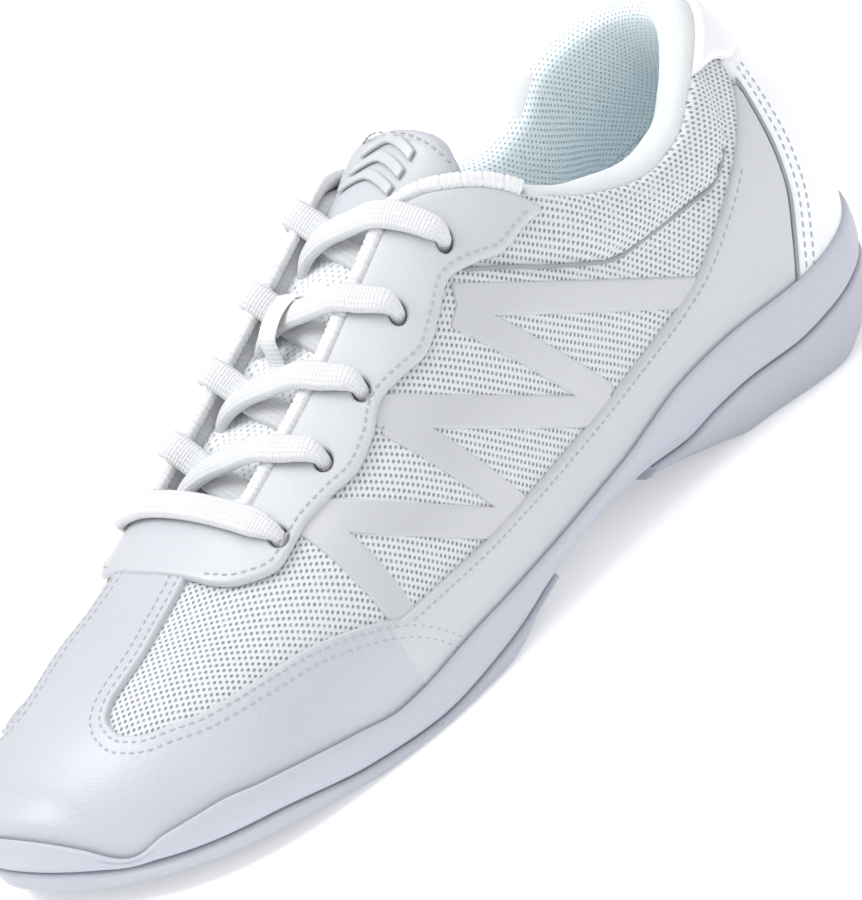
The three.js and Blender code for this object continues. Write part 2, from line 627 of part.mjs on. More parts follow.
function ringCap(ring) {
  const flat = ring.map((p) => new THREE.Vector2(p.y, p.z));
  const turned = THREE.ShapeUtils.isClockWise(flat);
  const cap = THREE.ShapeUtils.triangulateShape(turned ? [...flat].reverse() : flat, []);
  const last = ring.length - 1;
  return turned ? cap.map(([a, b, c]) => [last - a, last - c, last - b]) : cap;
}

function soleLoft(stations, ringAt, startOpen, endOpen) {
  const rings = stations.map(ringAt);
  const match = (ring) => {
    const cap = ringCap(ring);
    const flat = ring.map((p) => new THREE.Vector2(p.y, p.z));
    return THREE.ShapeUtils.isClockWise(flat) ? cap.map(([a, b, c]) => [a, c, b]) : cap;
  };
  return loft(rings, startOpen ? match(rings[0]) : [], endOpen ? match(rings[rings.length - 1]) : []);
}

const soleStations = (from, to) =>
  [from, ...STATIONS.filter((x) => x > from + 0.1 && x < to - 0.1), to];
const ARCH_FRONT = 6;
const ARCH_BACK = 46;

function makeMidsole() {
  const stations = [...soleStations(TOE_X, ARCH_FRONT), ...soleStations(ARCH_FRONT, ARCH_BACK).slice(1),
    ...soleStations(ARCH_BACK, HEEL_X).slice(1)];
  const ringAt = (x) => soleRing(x,
    [[LIP, lipTop(x)], [BELLY, mixed(featherZ(x), moldSideZ(x), 0.4)],
      [wall(x, moldSideZ(x)), moldSideZ(x)], [wall(x, moldSideZ(x)) - SKIRT - GAP, moldSideZ(x)],
      [wall(x, moldMidZ(x)) - 3, moldMidZ(x)]],
    [[LIP_INSIDE, lipTop(x)], [LIP_INSIDE, featherZ(x) - 0.4], [GAP, featherZ(x) - 0.4],
      [GAP, bedZ(x)], [-3, bedZ(x)]]);
  return soleLoft(stations, ringAt, false, false);
}

function makeTread(stations, startOpen, endOpen) {
  const ringAt = (x) => {
    const top = moldSideZ(x) - GAP;
    const low = Math.min(groundZ(x), moldMidZ(x) - 1.5);
    const middle = mixed(top, low, 0.5);
    return soleRing(x,
      [[wall(x, moldSideZ(x)), top], [wall(x, middle), middle], [flare(x), low + 0.8],
        [flare(x) - 1, low]],
      [[wall(x, moldSideZ(x)) - SKIRT, top], [wall(x, moldMidZ(x)) - 3, moldMidZ(x) - GAP]]);
  };
  return soleLoft(stations, ringAt, startOpen, endOpen);
}

function makeFootbed(inset, lift, thick) {
  const ringAt = (x) => soleRing(x, [[inset, bedZ(x) + lift + thick], [inset, bedZ(x) + lift]],
    [[inset - 2, bedZ(x) + lift + thick]]);
  return soleLoft(STATIONS, ringAt, false, false);
}

// ---------------------------------------------------------------- assembly
add('midsole', makeMidsole(), SOLE_RUBBER, 0.6);
add('tread_forefoot', makeTread(soleStations(TOE_X, ARCH_FRONT), false, true), SOLE_RUBBER, 0.7);
add('tread_heel', makeTread(soleStations(ARCH_BACK, HEEL_X), true, false), SOLE_RUBBER, 0.7);
add('lasting_board', makeFootbed(-5.6, GAP, 1.6), HIDDEN_BOARD, 0.9);
add('sock_liner', makeFootbed(-5.8, 2.4, 3.2), LINING_BLUE, 0.95);
add('toe_cap', makeToeCap(), WHITE_LEATHER, 0.45);
add('eyestay', makeEyestay(), WHITE_LEATHER, 0.45);
add('side_band_lateral', makeBand(-1), WHITE_LEATHER, 0.45);
add('side_band_medial', makeBand(1), WHITE_LEATHER, 0.45);
add('heel_counter_cover', makeHeelPiece(), WHITE_LEATHER, 0.45);
add('heel_tab', makeHeelTab(), WHITE_LEATHER, 0.5);
add('film_zigzag_lateral', makeFilm(-1), FILM_GREY, 0.35);
add('film_zigzag_medial', makeFilm(1), FILM_GREY, 0.35);
add('vamp_mesh', makeVampMesh(), WHITE_TEXTILE, 0.9);
add('quarter_mesh_lateral', makeQuarterMesh(-1), WHITE_TEXTILE, 0.9);
add('quarter_mesh_medial', makeQuarterMesh(1), WHITE_TEXTILE, 0.9);
add('eyestay_facing', makeEyestayFacing(), FOAM_WHITE, 0.9);
add('toe_puff', makeToePuff(), HIDDEN_BOARD, 0.8);
add('heel_stiffener', makeHeelStiffener(), HIDDEN_BOARD, 0.8);
add('vamp_and_quarter_lining', makeLining(), LINING_BLUE, 0.95);
add('collar_foam', makeCollarFoam(), FOAM_WHITE, 0.95);
add('collar_lining', makeCollarLining(), LINING_BLUE, 0.95);
add('collar_roll', makeCollarRoll(), WHITE_TEXTILE, 0.9);
add('tongue', makeTongue(), WHITE_TEXTILE, 0.9);
add('tongue_top', makeTonguePad(), WHITE_LEATHER, 0.5);
add('tongue_badge', makeTongueBadge(), FILM_GREY, 0.4);
add('tongue_loop', makeTongueLoop(), WHITE_TEXTILE, 0.8);
const samples = laceSamples();
add('lace', makeLace(samples), WHITE_TEXTILE, 0.85);
add('aglet_1', makeAglet({ ...samples[0], sign: -1 }), AGLET_CLEAR, 0.25);
add('aglet_2', makeAglet({ ...samples[samples.length - 1], sign: 1 }), AGLET_CLEAR, 0.25);

// stand the tread on z = 0 and centre the outer box on the origin
const box = new THREE.Box3().setFromObject(shoe);
const shift = new THREE.Vector3((box.min.x + box.max.x) / 2, (box.min.y + box.max.y) / 2, box.min.z);
shoe.children.forEach((mesh) => mesh.geometry.translate(-shift.x, -shift.y, -shift.z));

export default shoe;
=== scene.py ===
"""White lace-up cheer shoe: the fine surfaces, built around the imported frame.

Lengths are millimetres in the shoe's own skin frame until a mesh is made; a mesh is in metres.
The upper is one smooth skin given by a station x along the foot and a wrap t across it: -1 at the
lateral feather edge, 0 on the ridge, +1 at the medial feather edge. Panels are cut out of a flat
chart of that skin and laid on it.
"""
import math

import bmesh
import bpy
import numpy as np
from mathutils import Matrix, Vector
from mathutils.geometry import delaunay_2d_cdt


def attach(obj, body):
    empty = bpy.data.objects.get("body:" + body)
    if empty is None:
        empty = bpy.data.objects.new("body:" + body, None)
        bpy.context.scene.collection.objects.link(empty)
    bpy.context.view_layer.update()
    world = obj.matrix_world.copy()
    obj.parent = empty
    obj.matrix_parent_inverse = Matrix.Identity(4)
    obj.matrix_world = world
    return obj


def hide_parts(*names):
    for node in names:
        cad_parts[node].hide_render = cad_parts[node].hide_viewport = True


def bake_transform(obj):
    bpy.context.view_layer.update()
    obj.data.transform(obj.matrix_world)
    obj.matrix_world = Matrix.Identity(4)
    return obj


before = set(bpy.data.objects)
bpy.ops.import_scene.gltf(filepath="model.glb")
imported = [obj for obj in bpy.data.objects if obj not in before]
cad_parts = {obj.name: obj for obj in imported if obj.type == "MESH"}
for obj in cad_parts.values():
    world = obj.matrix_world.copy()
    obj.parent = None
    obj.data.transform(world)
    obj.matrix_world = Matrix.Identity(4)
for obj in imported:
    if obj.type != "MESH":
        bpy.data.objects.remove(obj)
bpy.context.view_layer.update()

# ---- driving dimensions
TOE_X, HEEL_X = -123.0, 132.0
MIDDLE_X = (TOE_X + HEEL_X) / 2
HALF_LENGTH = (HEEL_X - TOE_X) / 2
TOE_ROUNDING_X, HEEL_ROUNDING_X = -78.0, 92.0
TOE_POWER, HEEL_POWER = 2.25, 2.35
WRAP_MM = 60.0                      # chart height of one unit of wrap
SHIFT = np.array([5.34, -1.99, 5.0])  # centres the whole shoe on the frame's origin
EYELETS_X = (-48, -29, -12, 6, 25)
EYELETS_T = (0.38, 0.38, 0.38, 0.38, 0.42)
COLLAR_START = 47.0                 # station where the padded collar begins
TUCK = 0.1                          # wrap past the feather edge where the lining meets the board
FEATHER_T = 1.03                    # panels run this far down, behind the sole's lip
LINING_T = 1.06                     # and the linings this far
SIDES = ((-1, "lateral"), (1, "medial"))  # sign of the wrap on each side, and the side's name
SHARP_ANGLE = math.radians(40)      # edges sharper than this are shaded as creases

# top and base of each layer, in millimetres above the skin
CAP_LAYER = (1.6, 0.1)
EYESTAY_LAYER = (2.3, 0.7)
FACING_LAYER = (0.65, -3.0)
BAND_LAYER = (1.75, 0.1)
HEEL_LAYER = (2.1, 0.3)
TAB_LAYER = (2.9, 0.8)
QUARTER_LAYER = (0.3, -1.2)
VAMP_LAYER = (0.15, -1.2)
FILM_LAYER = (0.85, 0.1)
LINING_LAYER = (-2.8, -3.6)
TONGUE_LAYER = (-5.6, -9.0)
PAD_LAYER = (-3.4, -9.8)
BADGE_LAYER = (1.1, 0.4)            # above the top of the pad


def through(*knots):
    """Smooth curve through (x, y) knots that never overshoots them."""
    xs = np.array([k[0] for k in knots], float)
    ys = np.array([k[1] for k in knots], float)
    step = np.diff(xs)
    rise = np.diff(ys) / step
    slope = np.empty(len(xs))
    slope[0], slope[-1] = rise[0], rise[-1]
    for i in range(1, len(xs) - 1):
        if rise[i - 1] * rise[i] <= 0:
            slope[i] = 0
        else:
            before = 2 * step[i] + step[i - 1]
            after = step[i] + 2 * step[i - 1]
            slope[i] = (before + after) / (before / rise[i - 1] + after / rise[i])

    def curve(x):
        x = np.clip(np.asarray(x, float), xs[0], xs[-1])
        i = np.clip(np.searchsorted(xs, x, side="right") - 1, 0, len(step) - 1)
        s = (x - xs[i]) / step[i]
        r = 1 - s
        return ((1 + 2 * s) * r * r * ys[i] + s * r * r * step[i] * slope[i]
                + s * s * (3 - 2 * s) * ys[i + 1] - s * s * r * step[i] * slope[i + 1])
    return curve


def smooth(x, low, high):
    s = np.clip((np.asarray(x, float) - low) / (high - low), 0, 1)
    return s * s * (3 - 2 * s)


def mixed(a, b, s):
    return a + (b - a) * s


def pair(x, t):
    """Columns x and t side by side; either may be a single number."""
    return np.stack(np.broadcast_arrays(x, t), -1)


def unit(vectors):
    return vectors / (np.linalg.norm(vectors, axis=-1, keepdims=True) + 1e-12)


def run_along(points):
    """Distance along a line from its first point to each of its points."""
    return np.concatenate([[0], np.cumsum(np.linalg.norm(np.diff(points, axis=0), axis=1))])


# ---- the skin, as in the CAD model
lateral_width = through((-123, 46), (-100, 48), (-75, 50), (-48, 51), (-20, 48), (5, 43.5), (30, 39),
                        (60, 34), (85, 32.5), (132, 32))
medial_width = through((-123, 29), (-100, 30), (-75, 33), (-48, 35), (-20, 33), (5, 30), (30, 28),
                       (60, 29), (85, 30), (132, 30))
ridge_y = through((-123, 8), (-100, 6), (-48, 6), (20, 5), (60, 2), (132, 0))
feather_z = through((-123, 23), (-116, 16), (-100, 16.5), (-90, 15.2), (-60, 14), (-20, 17), (20, 21),
                    (60, 26), (100, 28), (120, 30.5), (132, 34))
ridge_z = through((-123, 40), (-100, 44), (-75, 50), (-48, 61), (-20, 74), (5, 87), (30, 101),
                  (60, 117), (90, 122), (132, 120))
heel_lean = through((27, 0), (40, 2.5), (55, 1.5), (70, -3), (85, -8), (95, -12), (105, -15), (150, -20))
side_power = through((-123, 2.5), (-75, 2.35), (-48, 2.3), (5, 2.6), (60, 2.6), (90, 2.4), (132, 2.3))
top_power = through((-123, 2.2), (-75, 2.2), (-48, 2.25), (5, 2.5), (60, 2.6), (90, 2.3), (132, 2.1))
bed_z = through((-123, 14), (-112, 13), (-100, 12.4), (-80, 11), (-50, 10), (-15, 12), (20, 16),
                (50, 17.5), (132, 18.5))


LEAN_FROM = 30.0                    # the heel leans back from this station on
SOLVER_ROUNDS = 8
LAST_WRAP = 0.985                   # nearer the feather edge the normal is taken as level


def station_at(angle):
    return MIDDLE_X - HALF_LENGTH * np.cos(angle)


def angle_at(x):
    return np.arccos(np.clip((MIDDLE_X - np.asarray(x, float)) / HALF_LENGTH, -1, 1))


def closing(x, heel_too):
    """How far the section is open at station x: it closes at the toe, and at the heel if asked."""
    toe = np.clip((TOE_ROUNDING_X - x) / (TOE_ROUNDING_X - TOE_X), 0, 1)
    share = (1 - toe ** TOE_POWER) ** (1 / TOE_POWER)
    if heel_too:
        heel = np.clip((x - HEEL_ROUNDING_X) / (HEEL_X - HEEL_ROUNDING_X), 0, 1)
        share = share * (1 - heel ** HEEL_POWER) ** (1 / HEEL_POWER)
    return share


def skin(x, t):
    """The point of the upper's surface at station x and wrap t."""
    x, t = np.broadcast_arrays(np.asarray(x, float), np.asarray(t, float))
    phi = np.clip(1 - np.abs(t), 0, 1) * np.pi / 2
    side = np.where(t < 0, -1.0, 1.0)
    width = np.where(t < 0, lateral_width(x), medial_width(x)) * closing(x, True)
    height = (ridge_z(x) - feather_z(x)) * closing(x, False)
    tuck = np.clip((np.abs(t) - 1) / TUCK, 0, 1) * (feather_z(x) - bed_z(x) - 1)
    y = ridge_y(x) + side * width * np.cos(phi) ** (2 / side_power(x))
    z = feather_z(x) + height * np.sin(phi) ** (2 / top_power(x)) - tuck
    lean = heel_lean(z) * smooth(x, LEAN_FROM, HEEL_X)
    return np.stack([x + lean, y, z], -1)


def outward(x, t):
    """The unit normal of the skin."""
    x, t = np.broadcast_arrays(np.asarray(x, float), np.asarray(t, float))
    angle = np.clip(angle_at(x), 0.05, np.pi - 0.05)
    wrap = np.clip(t, -LAST_WRAP, LAST_WRAP)
    along = skin(station_at(angle + 0.01), wrap) - skin(station_at(angle - 0.01), wrap)
    across = skin(station_at(angle), wrap + 0.01) - skin(station_at(angle), wrap - 0.01)
    edge = np.abs(t) > LAST_WRAP
    across[edge] = 0
    across[edge, 2] = -np.sign(t[edge])
    back = x >= HEEL_X - 0.01
    along[back] = 0
    along[back, 1] = -np.where(t[back] < 0, -1.0, 1.0)
    normal = unit(np.cross(along, across))
    normal[x <= TOE_X + 0.01] = (-1, 0, 0)
    return normal


def lifted(x, t, depth):
    """The point that stands depth millimetres above the skin."""
    return skin(x, t) + outward(x, t) * np.asarray(depth, float)[..., None]


def wrap_at(x, z, side):
    """Wrap of the skin point at station x and height z."""
    height = (ridge_z(x) - feather_z(x)) * closing(x, False)
    share = np.clip((z - feather_z(x)) / height, 0, 1) ** (top_power(x) / 2)
    return side * (1 - np.arcsin(share) / (np.pi / 2))


# ---- outlines of the panels
throat_wrap = through((-51, 0.02), (-49, 0.16), (-45, 0.24), (-19, 0.235), (5, 0.22), (22, 0.22),
                      (28, 0.27), (34, 0.36), (42, 0.49), (48, 0.6))
lateral_top = through((36, 93), (44, 88.5), (52, 82.5), (60, 78), (78, 73), (88, 75), (97, 81), (108, 88),
                      (118, 92), (132, 93))
medial_top = through((36, 93.5), (44, 89.5), (52, 84), (60, 80), (76, 75), (87, 78), (96, 86), (108, 90),
                     (118, 92), (132, 93))
band_top = through((-45, 30), (-10, 31), (20, 33.5), (50, 38.5), (75, 45), (90, 54), (101, 63), (109, 71),
                   (113, 78))
heel_seam = through((28, 100), (38, 105), (50, 110.5), (62, 112.5), (73, 113), (79, 113))
pad_seam_z = through((22, 80), (32, 75), (46, 67), (62, 60.5), (90, 60), (99, 65), (107, 75))
eyestay_wrap = through((-65, 0.02), (-64, 0.24), (-60, 0.36), (-52, 0.435), (-43, 0.43), (-34, 0.455),
                       (-25, 0.49), (-18, 0.48), (-11, 0.45), (-4, 0.475), (5, 0.515), (12, 0.5),
                       (19, 0.48), (27, 0.53), (34, 0.585), (43, 0.61), (50, 0.64))
window_top = through((-102, 0.335), (-101, 0.27), (-99, 0.23), (-94, 0.205), (-86, 0.2), (-75, 0.175),
                     (-58, 0.15))
window_low = through((-102, 0.345), (-100, 0.43), (-96, 0.48), (-90, 0.54), (-77, 0.6), (-65, 0.65),
                     (-53, 0.73), (-40, 0.84), (-27, 0.99))
FILM_STRIPES = (                    # centre lines of the welded stripes in side view, x and z
    ((-41, 54), (-39.5, 28)), ((-42, 57), (-2, 30)), ((-13, 63), (3, 30)),
    ((-14, 66), (40, 33)), ((16, 73), (40, 36)), ((18, 75), (75, 42.5)))
FILM_WIDTH = 7.4


def station_for(side_x, z):
    """Station of the skin point that shows at side_x in side view, at height z."""
    x = np.asarray(side_x, float)
    for _ in range(SOLVER_ROUNDS):
        x = side_x - heel_lean(z) * smooth(x, LEAN_FROM, HEEL_X)
    return np.clip(x, TOE_X, HEEL_X)


def height_on(line, x):
    """Height where a line drawn in side view crosses station x."""
    z = line(x)
    for _ in range(SOLVER_ROUNDS):
        z = line(x + heel_lean(z) * smooth(x, LEAN_FROM, HEEL_X))
    return z


def on_line(x, line, side, drop=0.0):
    """The (x, t) of a line drawn in side view, lowered by drop."""
    return pair(x, wrap_at(x, height_on(line, x) - drop, side))


def in_side_view(side_x, z, side):
    """The (x, t) of the points seen at side_x, z in side view."""
    x = station_for(side_x, z)
    return pair(x, wrap_at(x, z, side))


def stations(start, count, inset=0.0):
    """Stations from start to the back of the heel, closer together where the heel turns."""
    return station_at(np.linspace(angle_at(start), np.pi - inset, count))


def collar_line(side):
    return lateral_top if side < 0 else medial_top


def throat_side(side):
    """The free edge of one side of the throat, as (x, t)."""
    xs = np.linspace(-51, COLLAR_START - 1, 70)
    return pair(xs, side * throat_wrap(xs))


# ---- charts of the skin
def to_chart(xt):
    """The flat chart, in which a panel's outline is drawn and triangulated."""
    xt = np.asarray(xt, float)
    return pair(HALF_LENGTH * angle_at(xt[..., 0]), WRAP_MM * xt[..., 1])


def from_chart(uv):
    return station_at(np.clip(uv[..., 0], 0, HALF_LENGTH * np.pi) / HALF_LENGTH), uv[..., 1] / WRAP_MM


def to_heel_chart(x, t):
    """A chart that runs unbroken round the back of the heel: lateral side first."""
    side = np.where(np.asarray(t) < 0, -1.0, 1.0)
    return pair(side * HALF_LENGTH * (np.pi - angle_at(x)), WRAP_MM * (1 - np.abs(t)))


def from_heel_chart(uv):
    side = np.where(uv[..., 0] < 0, -1.0, 1.0)
    return station_at(np.pi - np.abs(uv[..., 0]) / HALF_LENGTH), side * (1 - uv[..., 1] / WRAP_MM)


def resampled(loop, step):
    """A closed loop, resampled to even steps of its chart."""
    points = np.vstack([loop, loop[:1]])
    length = np.linalg.norm(np.diff(points, axis=0), axis=1)
    points = points[np.concatenate([[True], length > 1e-6])]
    run = run_along(points)
    count = max(3, int(round(run[-1] / step)))
    at = np.linspace(0, run[-1], count + 1)[:-1]
    return pair(np.interp(at, run, points[:, 0]), np.interp(at, run, points[:, 1]))


def inside(points, loops):
    """Even-odd test of points against closed loops."""
    hit = np.zeros(len(points), bool)
    for loop in loops:
        for (ax, ay), (bx, by) in zip(loop, np.roll(loop, -1, axis=0)):
            if ay == by:
                continue
            crossing = (points[:, 1] > ay) != (points[:, 1] > by)
            hit ^= crossing & (points[:, 0] < ax + (points[:, 1] - ay) * (bx - ax) / (by - ay))
    return hit


def edge_distance(points, loops):
    """Distance from each point to the nearest edge of any loop."""
    best = np.full(len(points), 1e9)
    for loop in loops:
        for a, b in zip(loop, np.roll(loop, -1, axis=0)):
            d = b - a
            s = np.clip(((points - a) @ d) / max(d @ d, 1e-12), 0, 1)
            gap = points - a - s[:, None] * d
            best = np.minimum(best, np.hypot(gap[:, 0], gap[:, 1]))
    return best


def shade(mesh):
    mesh.polygons.foreach_set("use_smooth", np.ones(len(mesh.polygons), bool))
    mesh.set_sharp_from_angle(angle=SHARP_ANGLE)


def new_mesh(name, points, faces, uv=None):
    """A mesh object from millimetre points; uv is one pair per point."""
    mesh = bpy.data.meshes.new(name)
    mesh.from_pydata((np.asarray(points) - SHIFT) * 0.001, [], faces)
    if uv is not None:
        layer = mesh.uv_layers.new(name="lay")
        index = np.empty(len(mesh.loops), np.int32)
        mesh.loops.foreach_get("vertex_index", index)
        layer.data.foreach_set("uv", np.asarray(uv, np.float32)[index].ravel())
    mesh.validate()
    obj = bpy.data.objects.new(name, mesh)
    bpy.context.scene.collection.objects.link(obj)
    shade(mesh)
    return obj


ARC_ROWS, ARC_COLUMNS = 120, 161
ARC_ANGLES = np.linspace(0.02, np.pi - 0.02, ARC_ROWS)
ARC_WRAPS = np.linspace(-1, 1, ARC_COLUMNS)


def arc_table():
    """Millimetres from the ridge for every row and column of the table."""
    grid = skin(station_at(ARC_ANGLES)[:, None], ARC_WRAPS[None])
    steps = np.linalg.norm(np.diff(grid, axis=1), axis=-1)
    run = np.concatenate([np.zeros((ARC_ROWS, 1)), np.cumsum(steps, 1)], 1)
    return run - run[:, ARC_COLUMNS // 2, None]


ARC_RUN = arc_table()


def arc(x, t):
    """Millimetres across the skin from its ridge to wrap t."""
    i = np.clip(np.interp(angle_at(x), ARC_ANGLES, np.arange(ARC_ROWS)), 0, ARC_ROWS - 1.001)
    j = np.clip(np.interp(t, ARC_WRAPS, np.arange(ARC_COLUMNS)), 0, ARC_COLUMNS - 1.001)
    i0, j0 = i.astype(int), j.astype(int)
    fi, fj = i - i0, j - j0
    row = ARC_RUN[i0, j0] * (1 - fj) + ARC_RUN[i0, j0 + 1] * fj
    nxt = ARC_RUN[i0 + 1, j0] * (1 - fj) + ARC_RUN[i0 + 1, j0 + 1] * fj
    return row * (1 - fi) + nxt * fi


def within(points, loops, union):
    """Inside the loops; overlapping loops add up where union is set."""
    if not union:
        return inside(points, loops)
    return np.any([inside(points, [loop]) for loop in loops], axis=0)


def rim_distance(points, loops, union):
    """Distance to the rim of the panel that the loops make."""
    if not union:
        return edge_distance(points, loops)
    return np.max([edge_distance(points, [loop]) * inside(points, [loop]) for loop in loops], axis=0)


WELD_MM = 1e-5
RIM_SHARES = (0.25, 0.6, 1.0)       # rows of points across a rounded rim


def panel(name, loops, top, base, heel=False, step=1.5, edge=0.9, lift=None, rim_step=0.8, union=False):
    """A panel of the skin: closed loops in a chart, top and base heights, with a rounded rim."""
    loops = [resampled(loop, rim_step) for loop in loops]
    rows = [np.vstack(loops)]
    for share in RIM_SHARES:
        for loop in loops:
            d = np.roll(loop, -1, axis=0) - np.roll(loop, 1, axis=0)
            d /= np.linalg.norm(d, axis=1, keepdims=True) + 1e-9
            for turn in (1, -1):
                moved = loop + turn * edge * share * pair(-d[:, 1], d[:, 0])
                good = within(moved, loops, union)
                good &= rim_distance(moved, loops, union) > 0.93 * edge * share
                rows.append(moved[good])
    low, high = rows[0].min(0), rows[0].max(0)
    us = np.arange(low[0], high[0], step)
    vs = np.arange(low[1], high[1], step * 0.87)
    grid = np.stack(np.meshgrid(us, vs, indexing="ij"), -1)
    grid[:, 1::2, 0] += step / 2
    grid = grid.reshape(-1, 2)
    grid = grid[within(grid, loops, union)]
    rows.append(grid[rim_distance(grid, loops, union) > edge + 0.4 * step])
    points = np.vstack(rows)
    borders, start = [], 0
    for loop in loops:
        n = len(loop)
        borders += [(start + i, start + (i + 1) % n) for i in range(n)]
        start += n
    corners = [Vector(p) for p in points]
    verts, _, faces = delaunay_2d_cdt(corners, borders, [], 0, WELD_MM)[:3]
    flat = np.array([v[:] for v in verts])
    faces = np.array([f for f in faces if len(f) == 3])
    faces = faces[within(flat[faces].mean(1), loops, union)]
    used = np.unique(faces)
    renumber = np.full(len(flat), -1)
    renumber[used] = np.arange(len(used))
    flat, faces = flat[used], renumber[faces]
    x, t = (from_heel_chart if heel else from_chart)(flat)
    gap = np.clip(rim_distance(flat, loops, union) / edge, 0, 1)
    height = base + (top - base) * (0.25 + 0.75 * np.sqrt(np.clip(1 - (1 - gap) ** 2, 0, 1)))
    extra = lift(x, t) if lift else 0.0
    upper = lifted(x, t, height + extra)
    lower = lifted(x, t, np.full(len(x), float(base)) + extra)
    uv = pair(x, arc(x, t))
    count = len(flat)
    faces = faces.tolist()
    directed = dict.fromkeys(edge for a, b, c in faces for edge in ((a, b), (b, c), (c, a)))
    rim = [(a, b) for a, b in directed if (b, a) not in directed]
    under = [(c + count, b + count, a + count) for a, b, c in faces]
    walls = [(b, a, a + count, b + count) for a, b in rim]
    obj = new_mesh(name, np.vstack([upper, lower]), faces + under + walls, np.vstack([uv, uv]))
    tidy_mesh(obj)
    return obj


def tidy_mesh(obj):
    """Weld what a chart folds onto itself, and face everything outward."""
    work = bmesh.new()
    work.from_mesh(obj.data)
    bmesh.ops.remove_doubles(work, verts=work.verts, dist=2e-6)
    bmesh.ops.dissolve_degenerate(work, dist=1e-7, edges=work.edges)
    bmesh.ops.recalc_face_normals(work, faces=work.faces)
    work.to_mesh(obj.data)
    work.free()
    shade(obj.data)


def ring_faces(n, m, start=0):
    """Faces over n rings of m points each, with a cap on both ends."""
    faces = []
    for a in range(start, start + (n - 1) * m, m):
        faces += [(a + k, a + (k + 1) % m, a + m + (k + 1) % m, a + m + k) for k in range(m)]
    faces.append(tuple(range(start + m - 1, start - 1, -1)))
    faces.append(tuple(range(start + (n - 1) * m, start + n * m)))
    return faces


def sweep(name, rings, uv=None):
    """A closed surface through rings of points; each ring closes on itself."""
    rings = np.asarray(rings, float)
    return new_mesh(name, rings.reshape(-1, 3), ring_faces(*rings.shape[:2]), uv)


# ---- paths on the skin
def frames_on(xt, depth):
    """Points, unit tangents, normals and sideways directions along a path on the skin."""
    points = lifted(xt[:, 0], xt[:, 1], np.broadcast_to(depth, len(xt)))
    tangent = unit(np.gradient(points, axis=0))
    sideways = unit(np.cross(outward(xt[:, 0], xt[:, 1]), tangent))
    return points, tangent, np.cross(tangent, sideways), sideways


def even_path(xt, step):
    """The same path, resampled to even steps of real length."""
    run = run_along(skin(xt[:, 0], xt[:, 1]))
    at = np.linspace(0, run[-1], max(3, int(run[-1] / step) + 1))
    return pair(np.interp(at, run, xt[:, 0]), np.interp(at, run, xt[:, 1]))


def moved_path(xt, distance):
    """The path moved sideways on the skin by real millimetres, positive to the left of travel."""
    xt = even_path(xt, 1.5)
    for _ in range(2):
        sideways = frames_on(xt, 0.0)[3]
        x, t = xt[:, 0], xt[:, 1]
        along = (skin(x + 0.2, t) - skin(x - 0.2, t)) / 0.4
        across = (skin(x, t + 0.004) - skin(x, t - 0.004)) / 0.008
        want = sideways * distance / 2
        a, b, c = (along * along).sum(1), (along * across).sum(1), (across * across).sum(1)
        p, q = (along * want).sum(1), (across * want).sum(1)
        whole = a * c - b * b + 1e-9
        xt = xt + pair((p * c - q * b) / whole, (a * q - b * p) / whole)
    return xt


STITCH_LENGTH, STITCH_PITCH, STITCH_THICK = 1.55, 2.15, 0.6
STITCH_SINK = 0.22                  # the ends of a stitch dip into the leather
STITCH_RINGS = ((-0.5, 0.35), (-0.36, 0.9), (0, 1), (0.36, 0.9), (0.5, 0.35))
STITCH_SIDES = 6


def stitch_rows(name, rows, height):
    """Rows of short thread stitches lying on a panel, all one mesh."""
    verts, faces = [], []
    for xt in rows:
        for p, along, up, aside in zip(*frames_on(even_path(xt, STITCH_PITCH), height)):
            faces += ring_faces(len(STITCH_RINGS), STITCH_SIDES, len(verts))
            for share, swell in STITCH_RINGS:
                centre = p + along * share * STITCH_LENGTH - up * STITCH_SINK * (2 * abs(share)) ** 3
                for turn in range(STITCH_SIDES):
                    angle = turn * 2 * math.pi / STITCH_SIDES
                    spoke = aside * math.cos(angle) + up * math.sin(angle)
                    verts.append(centre + spoke * swell * STITCH_THICK / 2)
    return new_mesh(name, verts, faces)


def bead(name, xt, depth, width, thick, step=0.45, rib=0.0, rib_pitch=1.7, sides=12):
    """A cord or strip laid along a path on the skin, with an oval section, ribbed if asked."""
    path = even_path(xt, step)
    if np.ndim(depth):
        depth = np.interp(np.linspace(0, 1, len(path)), np.linspace(0, 1, len(depth)), depth)
    points, _, normal, sideways = frames_on(path, depth)
    angles = np.linspace(0, 2 * np.pi, sides, endpoint=False)
    run = np.arange(len(path)) * step
    swell = 1 - rib + rib * np.abs(np.sin(np.pi * run / rib_pitch)) ** 0.6
    swell[0] = swell[-1] = 0.35
    rings = (points[:, None]
             + sideways[:, None] * (swell[:, None] * np.cos(angles) * width / 2)[..., None]
             + normal[:, None] * (swell[:, None] * np.sin(angles) * thick / 2)[..., None])
    return sweep(name, rings, pair(run[:, None], angles * width / 4).reshape(-1, 2))


